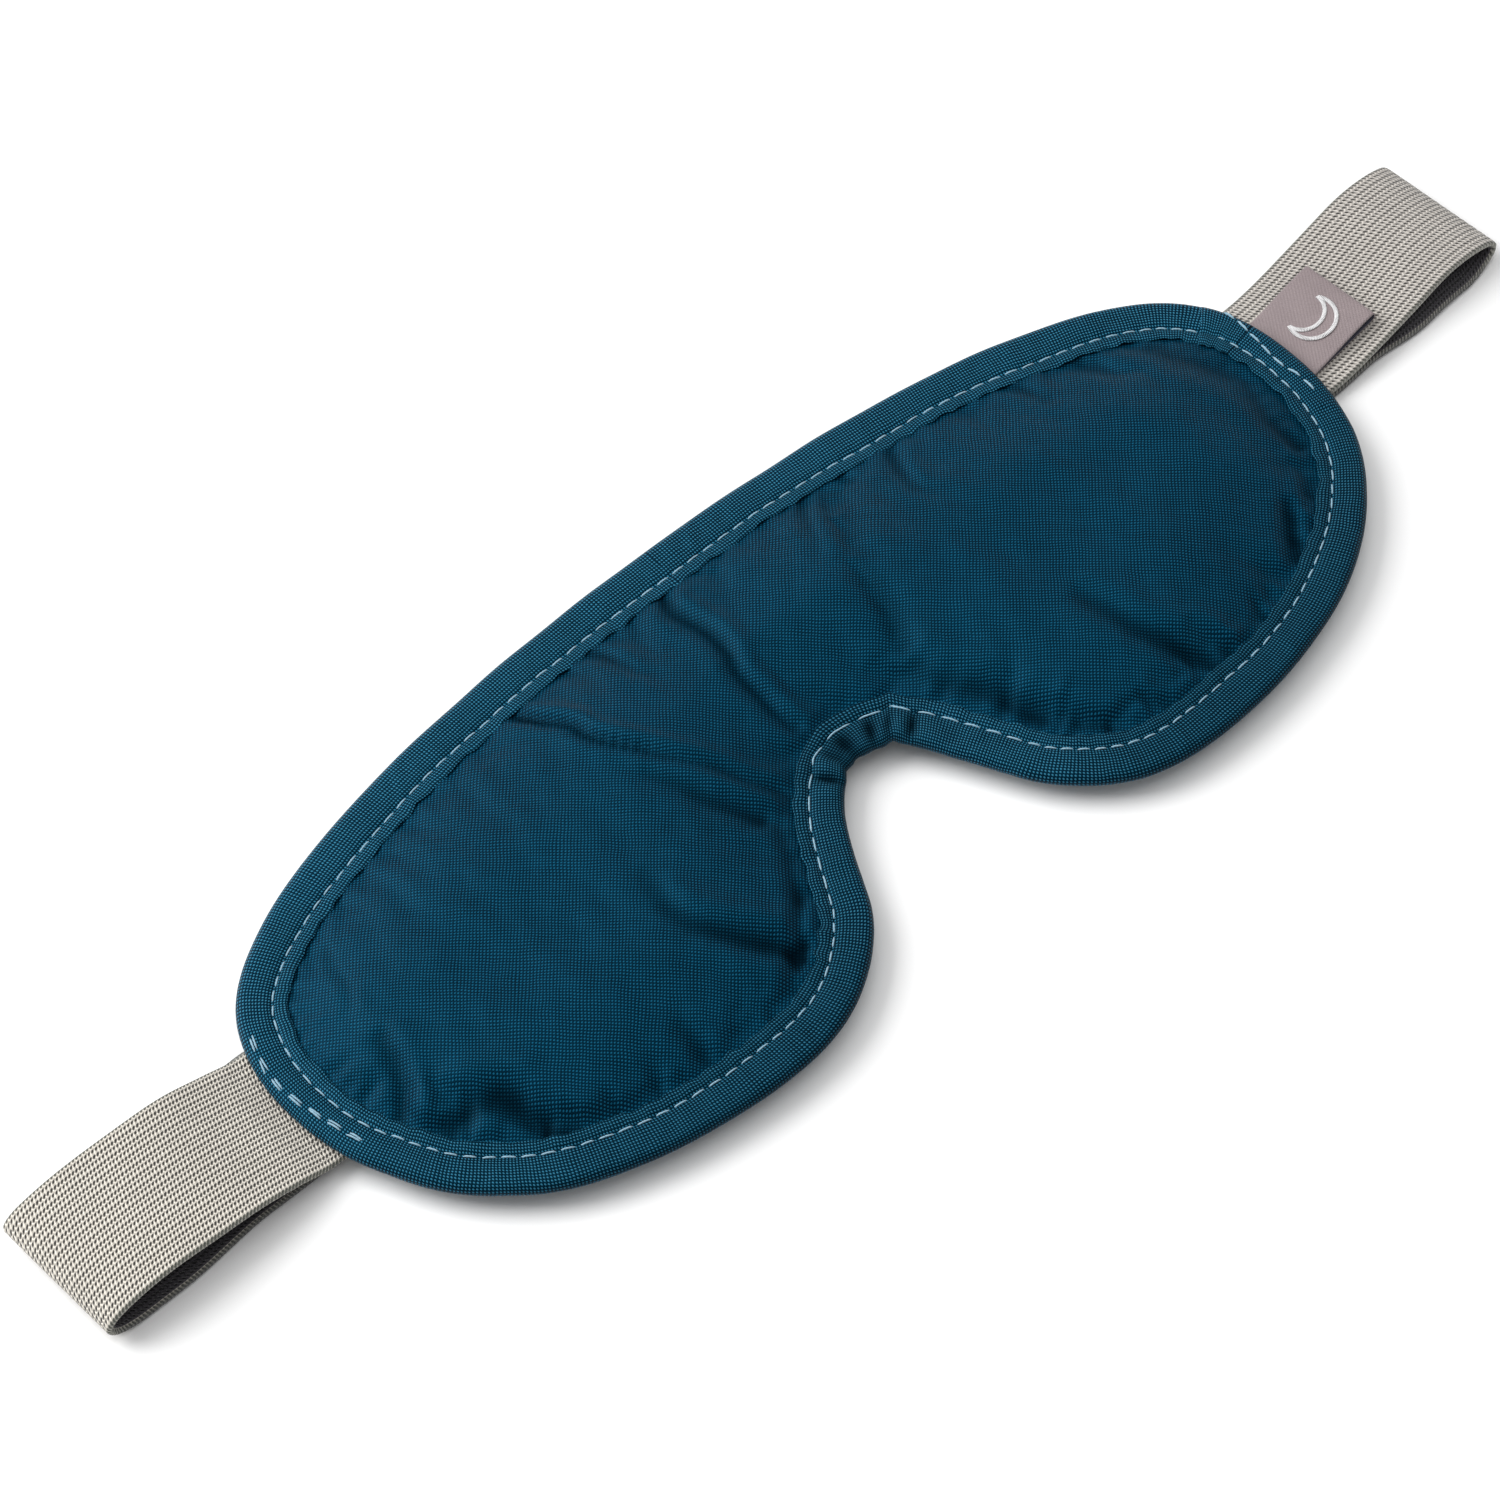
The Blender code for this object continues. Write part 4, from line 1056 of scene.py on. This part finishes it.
tack_l = stitch_row("tack_stitches_front_left", left_row, left_d, True, 0.155, 2.9, slack=1.5, seed=8, twin=0.42)
tack_lb = stitch_row("tack_stitches_back_left", left_row, left_d, False, 0.22, 2.8, slack=1.0, seed=9)
tack_r = right_tacks("tack_stitches_front_right", True, 12)
tack_rb = right_tacks("tack_stitches_back_right", False, 13)


# ================================================================ straps
def spline_path(pts, step):
    line = catmull(pts, 1200)
    cum = np.concatenate([[0], np.cumsum(np.linalg.norm(np.diff(line, axis=0), axis=1))])
    n = max(4, int(round(cum[-1] / step)))
    a = np.linspace(0, cum[-1], n + 1)
    return a, np.stack([np.interp(a, cum, line[:, k]) for k in range(line.shape[1])], 1)


W2 = 12.5
T2 = 0.58


def rib_height(u, v, across, along_u, second_at, k2, amp):
    """Knit relief in mm; u along, v across."""
    vv = np.mod(v / across, 1.0)
    uu = u / along_u
    w1 = np.mod(vv + 0.5, 1.0) - 0.5
    w2 = np.mod(vv - second_at + 0.5, 1.0) - 0.5
    h = 1.0 - 0.9 * np.exp(-(w1 / 0.13) ** 2) * (0.42 + 0.58 * np.cos(2 * math.pi * (uu + 1.9 * w1)))
    h = h - k2 * 0.8 * np.exp(-(w2 / 0.10) ** 2) * (0.42 + 0.58 * np.cos(2 * math.pi * (uu + 0.5 + 1.9 * w2)))
    h = h + 0.16 * np.cos(2 * math.pi * (uu - 1.9 * np.abs(vv - 0.46)))
    return amp * (h - 0.75)


def strap_mesh(name, arc, centre, yaw, across_n, under_n, knit, amp, mat, arc0=0.0, ripple=None, flip=False, turn_at=None):
    """A band swept along centre (n, 3) with its cross direction turned by yaw (radians) in plan."""
    tang = np.gradient(centre, axis=0)
    tang /= np.linalg.norm(tang, axis=1)[:, None]
    cr = np.stack([-np.sin(yaw), np.cos(yaw), np.zeros(len(yaw))], 1)
    cr = cr - tang * (cr * tang).sum(1)[:, None]
    cr /= np.linalg.norm(cr, axis=1)[:, None]
    nor = np.cross(cr, tang)
    if flip:
        nor = -nor
    v_top = np.linspace(-W2, W2, across_n)
    v_low = np.linspace(W2, -W2, under_n)
    ring = []
    uvs = []
    u = arc + arc0
    kw = knit
    for v in v_top:
        e = max(0.0, 1 - (W2 - abs(v)) / 0.55)
        h = T2 * math.sqrt(max(0.0, 1 - e * e)) * (1.0 if e < 1 else 0.0)
        rel = rib_height(u, v, *kw, amp) * (1 - e)
        ring.append(cr * v + nor * (h + rel)[:, None])
        uvs.append(np.stack([u, np.full(len(u), v)], 1))
    for v in v_low[1:-1]:
        e = max(0.0, 1 - (W2 - abs(v)) / 0.55)
        h = T2 * math.sqrt(max(0.0, 1 - e * e))
        rel = rib_height(u, v, *kw, amp * 0.8) * (1 - e)
        ring.append(cr * v - nor * (h + rel)[:, None])
        uvs.append(np.stack([u, np.full(len(u), v)], 1))
    ring = np.array(ring).transpose(1, 0, 2)
    uvs = np.array(uvs).transpose(1, 0, 2)
    # a slight waviness of the selvedges
    vv = (ring * cr[:, None, :]).sum(2) / W2
    wob = 0.10 * np.sin(u / 2.9)[:, None] * np.maximum(np.abs(vv) - 0.85, 0) / 0.15
    pts = centre[:, None, :] + ring + nor[:, None, :] * wob[..., None]
    if ripple is not None:
        pts = pts + nor[:, None, :] * ripple(u[:, None], vv)[..., None]
    v3, f = ring_mesh(pts, False)
    nr = pts.shape[1]
    f = f.tolist()
    n = len(centre)
    a, b = list(range(nr)), [(n - 1) * nr + k for k in range(nr)]
    f.append(a[::-1])
    f.append(b)
    if not flip:
        f = [q[::-1] for q in f]
    me = bpy.data.meshes.new(name)
    me.from_pydata((v3 * MM).tolist(), [], f)
    me.update()
    me.shade_smooth()
    layer = me.uv_layers.new(name="UVMap")
    idx = np.empty(len(me.loops), int)
    me.loops.foreach_get("vertex_index", idx)
    layer.data.foreach_set("uv", uvs.reshape(-1, 2).astype(np.float32)[idx].ravel())
    me.materials.append(mat)
    me.materials.append(M_INSIDE_SHADE)
    # the under faces get the darker elastic copy: painted shade inside the loop
    fm = np.zeros(len(f), np.int32)
    ring_k = np.tile(np.arange(nr), n - 1)
    fm[:len(ring_k)] = (ring_k >= across_n) & (ring_k <= nr - 2)
    me.polygons.foreach_set("material_index", fm)
    arcs = np.repeat(arc, nr)
    shade = np.zeros(len(v3))
    if turn_at is not None:
        shade = smooth01((arcs - turn_at - 1.0) / 4.0) * (np.abs(uvs[..., 1].ravel()) > 11.9)
    me.attributes.new("under", "FLOAT", "POINT").data.foreach_set("value", shade.astype(np.float32))
    o = bpy.data.objects.new(name, me)
    bpy.context.scene.collection.objects.link(o)
    return o, arcs


def centre_y(side, x, upper):
    """Middle of the band across the object."""
    if side < 0:
        return np.full(np.shape(x), -0.7) if upper else -0.7 + 2.1 * smooth01((x + 150) / 260) * (x > -150)
    far = 1.4 + 3.1 * smooth01((x - 108) / 40) * 1.0 + 0.02 * np.maximum(x - 148, 0)
    if upper:
        return far
    return np.where(x > 108, far, -0.7 + 2.1 * np.clip((x + 150.3) / 260, 0, 1))


PATH = {
    -1: [(101.0, 2.56), (106.0, 2.56), (110.5, 2.95), (116.0, 5.0), (124.0, 7.2), (132.0, 8.1), (140.0, 8.35),
         (146.5, 7.9), (151.2, 6.6), (153.2, 4.5), (151.9, 2.1), (148.2, 0.85), (142.0, 0.62), (130.0, 0.60), (98.0, 0.60)],
    1: [(101.0, 2.18), (106.0, 2.18), (110.5, 2.25), (116.0, 2.7), (124.0, 3.5), (132.0, 4.6), (140.0, 5.7),
        (147.0, 5.65), (151.1, 4.65), (153.0, 3.00), (152.0, 1.45), (148.6, 0.75), (142.0, 0.62), (130.0, 0.60), (98.0, 0.60)],
}
KNIT = {-1: (1.74, 0.68, 0.52, 0.92), 1: (2.0, 0.74, 0.50, 0.95)}
MAT_E = {-1: M_ELASTIC_L, 1: M_ELASTIC_R}
NAME = {-1: "left", 1: "right"}
CUT_UP = 110.2                # the sewn end's mesh stops here, under the edge

straps = []
for side in (-1, 1):
    nm = NAME[side]
    arc, xz = spline_path(PATH[side], 0.165 if side < 0 else 0.2)
    x, z = xz[:, 0], xz[:, 1]
    turn_i = int(x.argmax())
    upper = np.arange(len(x)) <= turn_i
    y = np.where(upper, centre_y(side, side * x, True), centre_y(side, side * x, False))
    yaw_s = 0.052 * smooth01((x - 126) / 20) if side < 0 else np.where(x > 100, 0.080 * smooth01((x - 104) / 12), 0.0)
    c = np.stack([side * x, y, z], 1)
    yaw = yaw_s.copy()
    # sewn end, under the edge
    k = (np.arange(len(x)) < turn_i) & (x <= CUT_UP + 0.2)
    rip = (lambda u, v: 0.0 * u * v)
    if side < 0:
        def rip(u, v):
            return (0.30 * np.sin((u - 12) / 9.5) * v * smooth01((u - 10) / 10) * smooth01((58 - u) / 10)
                    + 0.10 * np.sin(u / 4.2 + 1.4 * v) * smooth01((u - 12) / 8) * smooth01((60 - u) / 10))
    else:
        def rip(u, v):
            return 0.10 * np.sin(u / 5.0 + 1.1 * v) * smooth01((u - 14) / 8) * smooth01((56 - u) / 10)
    end_o, _ = strap_mesh("strap_seam_end_" + nm, arc[k], c[k], yaw[k], 44, 24, KNIT[side], 0.08, MAT_E[side],
                          flip=side > 0)
    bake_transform(end_o)
    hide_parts("strap_end_" + nm)
    # free run, turn-back and the first part of the rear run
    k = ~((np.arange(len(x)) < turn_i) & (x < CUT_UP))
    i0 = int(np.nonzero(k)[0][0])
    loop_o, arcs = strap_mesh("strap_loop_" + nm, arc[k], c[k], yaw[k], 97 if side < 0 else 86, 40, KNIT[side], 0.15,
                              MAT_E[side], ripple=rip, flip=side > 0, turn_at=arc[turn_i])
    a_turn = arc[turn_i]
    co = np.empty(len(loop_o.data.vertices) * 3)
    loop_o.data.vertices.foreach_get("co", co)
    co = co.reshape(-1, 3)
    out_x = np.abs(co[:, 0]) / MM
    past = smooth01((arcs - (a_turn - 3.0)) / 12.0)
    aside = (1.2 * smooth01((140 - out_x) / 18) * smooth01((out_x - 99) / 10) if side < 0
             else -1.9 * smooth01((out_x - 120) / 15))
    co[:, 1] += past * aside * MM
    loop_o.data.vertices.foreach_set("co", co.ravel())
    loop_o.data.update()
    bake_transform(loop_o)
    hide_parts("strap_" + nm, "strap_fold_" + nm, "strap_rear_" + nm)
    # rear run to the open pivot
    end_x = -4.85 if side < 0 else -5.15
    xs = np.arange(98.0, -side * 5.0 - 0.01, -0.5) if side > 0 else np.arange(98.0, 5.0 - 0.01, -0.5)
    xs = np.concatenate([xs, [side * (-5.0) + 0.15]]) if xs[-1] > side * (-5.0) + 0.2 else xs
    cy = np.array([-0.7 + 2.1 * min(max((side * q + 150.3) / 260, 0), 1) for q in xs])
    if side > 0:
        cy = -0.7 + 2.1 * np.clip((xs + 150.3) / 260, 0, 1)
    cy = cy + 1.5 * smooth01((90 - xs) / 60)
    cc = np.stack([side * xs, cy, np.full(len(xs), 0.60)], 1)
    mid_o, _ = strap_mesh("strap_rear_run_" + nm, (98.0 - xs) + arc[-1], cc, np.zeros(len(xs)), 44, 24, KNIT[side], 0.05,
                          MAT_E[side], flip=side > 0)
    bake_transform(mid_o)
    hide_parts("strap_mid_" + nm)
    straps += [end_o, loop_o, mid_o]


# ================================================================ label
def build_label():
    """Folded woven loop: up from the seam, out along the strap, round its end and back."""
    xz_r = catmull(PATH[1], 600)
    up = xz_r[:int(xz_r[:, 0].argmax())]
    strap_z = lambda x: np.interp(x, up[:, 0], up[:, 1]) + T2 + 0.12
    x0, x1 = 105.0, 124.7
    xs = np.linspace(x0, x1, 46)
    t = (xs - 110.2) / (x1 - 110.2)
    low = np.maximum(strap_z(xs), 2.9) + 0.22 + 0.06 * np.clip(t, 0, 1)
    gap = 0.25 + 1.30 * smooth01(t * 1.05 + 0.1)
    high = low + 0.22 + gap
    stub = xs < 110.0
    high[stub] = low[stub] + 0.28
    high = np.convolve(np.pad(high, 3, mode="edge"), np.ones(7) / 7, "valid")
    high = np.where(stub, np.minimum(high, 3.5), high)
    th = 0.11
    zc, r = (low[-1] + high[-1]) / 2, (high[-1] - low[-1]) / 2
    path = [(a, b) for a, b in zip(xs, low)]
    for j in range(1, 12):
        a = -math.pi / 2 + math.pi * j / 12
        path.append((x1 + 0.75 * r * math.cos(a), zc + r * math.sin(a)))
    path += [(a, b) for a, b in zip(xs[::-1], high[::-1])]
    path = np.array(path)
    nseg = len(path)
    arc = np.concatenate([[0], np.cumsum(np.linalg.norm(np.diff(path, axis=0), axis=1))])
    tg = np.gradient(path, axis=0)
    tg /= np.linalg.norm(tg, axis=1)[:, None]
    nr_ = np.stack([-tg[:, 1], tg[:, 0]], 1)          # left of the run, into the loop on the way out
    vs = np.linspace(-7.5, 7.5, 31)
    out_s, in_s = [], []
    for v in vs:
        mid_y = 0.6 + (path[:, 0] - 110.0) * 0.08
        skew = -0.08 * v
        # the upper ply bows a little
        bow = 0.10 * (1 - (v / 7.5) ** 2) * np.clip((path[:, 0] - 110) / 8, 0, 1)
        up_ply = (np.arange(nseg) > 50)
        zz = path[:, 1] + bow * up_ply
        out_s.append(np.stack([path[:, 0] + skew - nr_[:, 0] * th, mid_y + v, zz - nr_[:, 1] * th], 1))
        in_s.append(np.stack([path[:, 0] + skew + nr_[:, 0] * th, mid_y + v, zz + nr_[:, 1] * th], 1))
    ring = np.array(out_s + in_s[::-1]).transpose(1, 0, 2)
    v3, f = ring_mesh(ring, False)
    nr = ring.shape[1]
    f = f.tolist()
    a, b = list(range(nr)), [(nseg - 1) * nr + k for k in range(nr)]
    h = nr // 2
    for k in range(h - 1):
        f.append([a[k], a[k + 1], a[nr - 2 - k], a[nr - 1 - k]][::-1])
        f.append([b[k], b[k + 1], b[nr - 2 - k], b[nr - 1 - k]])
    uv = np.zeros((nseg, nr, 2))
    uv[..., 0] = arc[:, None]
    uv[:, :h, 1] = vs[None]
    uv[:, h:, 1] = vs[::-1][None]
    k = np.tile(np.arange(nr), nseg - 1)
    # the inner faces get the dark label copy: painted shade between the plies
    inner = np.zeros(len(f), int)
    inner[:len(k)] = (k >= h) & (k < nr - 1)
    o = mesh_object("side_label_loop", v3, f, uv=uv.reshape(-1, 2), face_mats=inner, mats=[M_LABEL, M_LABEL_INNER_SHADE])
    weld_keep_uv(o)
    top_z = lambda x: np.interp(x, xs, high) + th + 0.10
    return o, top_z


label, label_top = build_label()
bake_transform(label)
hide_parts("side_label", "label_end")


def build_moon():
    """Crescent outline in white thread: many short stitches laid across its line."""
    cx, cy = 117.7, 1.2
    r1, r2, off = 4.1, 2.9, 2.0
    a1 = np.linspace(math.radians(62), math.radians(298), 60)
    # outer arc, then the inner one back between the same two horns
    outer = np.stack([r1 * np.cos(a1), r1 * np.sin(a1)], 1)
    h0, h1 = outer[0], outer[-1]
    c2 = np.array([off, 0.0])
    b0 = math.atan2(h1[1] - c2[1], h1[0] - c2[0]) % (2 * math.pi)
    b1 = math.atan2(h0[1] - c2[1], h0[0] - c2[0]) % (2 * math.pi)
    rr0 = np.linalg.norm(h1 - c2)
    a2 = np.linspace(b0, b1, 44)
    inner = np.stack([c2[0] + rr0 * np.cos(a2), rr0 * np.sin(a2)], 1)
    line = np.vstack([outer, inner[1:]])
    turn = math.radians(90 + 4.6)
    rot = np.array([[math.cos(turn), -math.sin(turn)], [math.sin(turn), math.cos(turn)]])
    line = line @ rot.T + (cx, cy)
    cum = np.concatenate([[0], np.cumsum(np.linalg.norm(np.diff(line, axis=0), axis=1))])
    out = []
    for a in np.arange(0, cum[-1], 0.26):
        q = np.array([np.interp(a, cum, line[:, 0]), np.interp(a, cum, line[:, 1])])
        q2 = np.array([np.interp(a + 0.05, cum, line[:, 0]), np.interp(a + 0.05, cum, line[:, 1])])
        t = (q2 - q) / max(np.linalg.norm(q2 - q), 1e-6)
        n = np.array([-t[1], t[0]])
        u = np.linspace(-1, 1, 7)
        pts = q + n * (u * 0.33)[:, None] + t * (u * 0.08)[:, None]
        z = label_top(pts[:, 0]) + 0.02 + 0.10 * (1 - u ** 4)
        out.append(tube(np.column_stack([pts, z]), 0.12, sides=6, turns=0.4, phase=a, taper=False))
    return join_tubes("label_moon", out, [M_WHITE])


moon = build_moon()
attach(moon, "side_label")

# ================================================================ the mask's parts stand in for the CAD parts; tacks and lap join their bodies
PAIRS = {
    front: ("front_panel", "front_fabric"), back: ("back_panel", "lining_fabric"),
    liner: ("blackout_liner", "blackout_film"), padding: ("padding", "padding_foam"),
    binding: ("binding", "binding_fabric"), topstitch: ("topstitch", "thread"), bobbin: ("bobbin_stitch", "thread"),
}
for o, (stem, slot) in PAIRS.items():
    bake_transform(o)
    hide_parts(stem + "_left", stem + "_right")
for o, side in ((tack_l, "left"), (tack_lb, "left"), (tack_r, "right"), (tack_rb, "right")):
    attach(o, "mask_" + side)
    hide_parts(o.name.replace("tack_stitches", "strap_tack"))
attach(lap, "mask_right")


# ================================================================ stage, light, camera
def floor():
    w = Nodes("floor_pale")
    n = w.node("ShaderNodeTexNoise", {"Scale": 3.0, "Detail": 2.0})
    w.put(w.p.inputs["Base Color"], w.mix(n.outputs[0], (0.93, 0.93, 0.93, 1), (0.95, 0.95, 0.95, 1)))
    w.put(w.p.inputs["Roughness"], 0.9)
    w.put(w.p.inputs["Specular IOR Level"], 0.1)
    me = bpy.data.meshes.new("floor")
    r, z = 3.0, -0.0001
    me.from_pydata([(-r, -r, z), (r, -r, z), (r, r, z), (-r, r, z)], [], [(0, 1, 2, 3)])
    me.materials.append(w.m)
    o = bpy.data.objects.new("floor", me)
    bpy.context.scene.collection.objects.link(o)
    return o


def sink(o, points):
    """The mask and strap wrap downwards, so the floor keeps under the lowest of these points of theirs."""
    low = o.driver_add("location", 2).driver
    low.type = "MIN"
    for i, (body, x) in enumerate(points):
        e = bpy.data.objects.new("low_point_%d" % i, None)
        e.location = (x, 0.0, 0.0)
        bpy.context.scene.collection.objects.link(e)
        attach(e, body)
        e.hide_render = True
        v = low.variables.new()
        v.name = "low_%d" % i
        v.type = "TRANSFORMS"
        v.targets[0].id = e
        v.targets[0].transform_type = "LOC_Z"
        v.targets[0].transform_space = "WORLD_SPACE"


sink(floor(), [("mask_left", -0.11), ("mask_left", 0.0), ("mask_right", 0.118), ("side_label", 0.13),
               ("strap_left", -0.165), ("strap_right", 0.165),
               ("strap_rear_left", -0.165), ("strap_rear_left", -0.055),
               ("strap_rear_right", 0.165), ("strap_rear_right", 0.055),
               ("strap_mid_left", -0.065), ("strap_mid_left", 0.0),
               ("strap_mid_right", -0.01), ("strap_mid_right", 0.06)])
world = bpy.data.worlds.new("studio") if not bpy.context.scene.world else bpy.context.scene.world
bpy.context.scene.world = world
world.use_nodes = True
bg = world.node_tree.nodes.get("Background") or world.node_tree.nodes.new("ShaderNodeBackground")
bg.inputs[0].default_value = (1.0, 1.0, 1.0, 1.0)
bg.inputs[1].default_value = 0.38
# the camera sees a pale room behind the floor; the light that falls on the object stays the same
seen = world.node_tree.nodes.new("ShaderNodeLightPath")
level = world.node_tree.nodes.new("ShaderNodeMath")
level.operation = "MULTIPLY_ADD"
level.inputs[1].default_value = 0.48
level.inputs[2].default_value = 0.38
world.node_tree.links.new(seen.outputs["Is Camera Ray"], level.inputs[0])
world.node_tree.links.new(level.outputs[0], bg.inputs[1])


def lamp(name, where, size, power, target=(0, 0, 0), size_y=None, color=(1, 1, 1)):
    ld = bpy.data.lights.new(name, "AREA")
    ld.shape = "RECTANGLE"
    ld.size, ld.size_y = size, size_y or size
    ld.energy = power
    ld.color = color
    o = bpy.data.objects.new(name, ld)
    o.location = where
    o.rotation_euler = (Vector(target) - Vector(where)).to_track_quat("-Z", "Y").to_euler()
    bpy.context.scene.collection.objects.link(o)


lamp("key", (-0.55, 0.75, 0.80), 0.9, 16.6)
lamp("top", (0.0, 0.1, 1.6), 1.6, 12.0)

az, el = math.radians(-41.872), math.radians(57.075)
back_dir = Vector((math.sin(az) * math.cos(el), -math.cos(az) * math.cos(el), math.sin(el)))
target = Vector((-0.012655, 0.0, 0.0049))
cam_data = bpy.data.cameras.new("camera")
cam_data.sensor_width = 36.0
cam_data.lens = 114.0
cam_data.clip_start, cam_data.clip_end = 0.01, 20.0
cam = bpy.data.objects.new("camera", cam_data)
cam.location = target + back_dir * 0.76586
cam.rotation_euler = (-back_dir).to_track_quat("-Z", "Y").to_euler()
bpy.context.scene.collection.objects.link(cam)
bpy.context.scene.camera = cam
bpy.context.scene.view_settings.view_transform = "Standard"
bpy.context.scene.view_settings.look = "None"
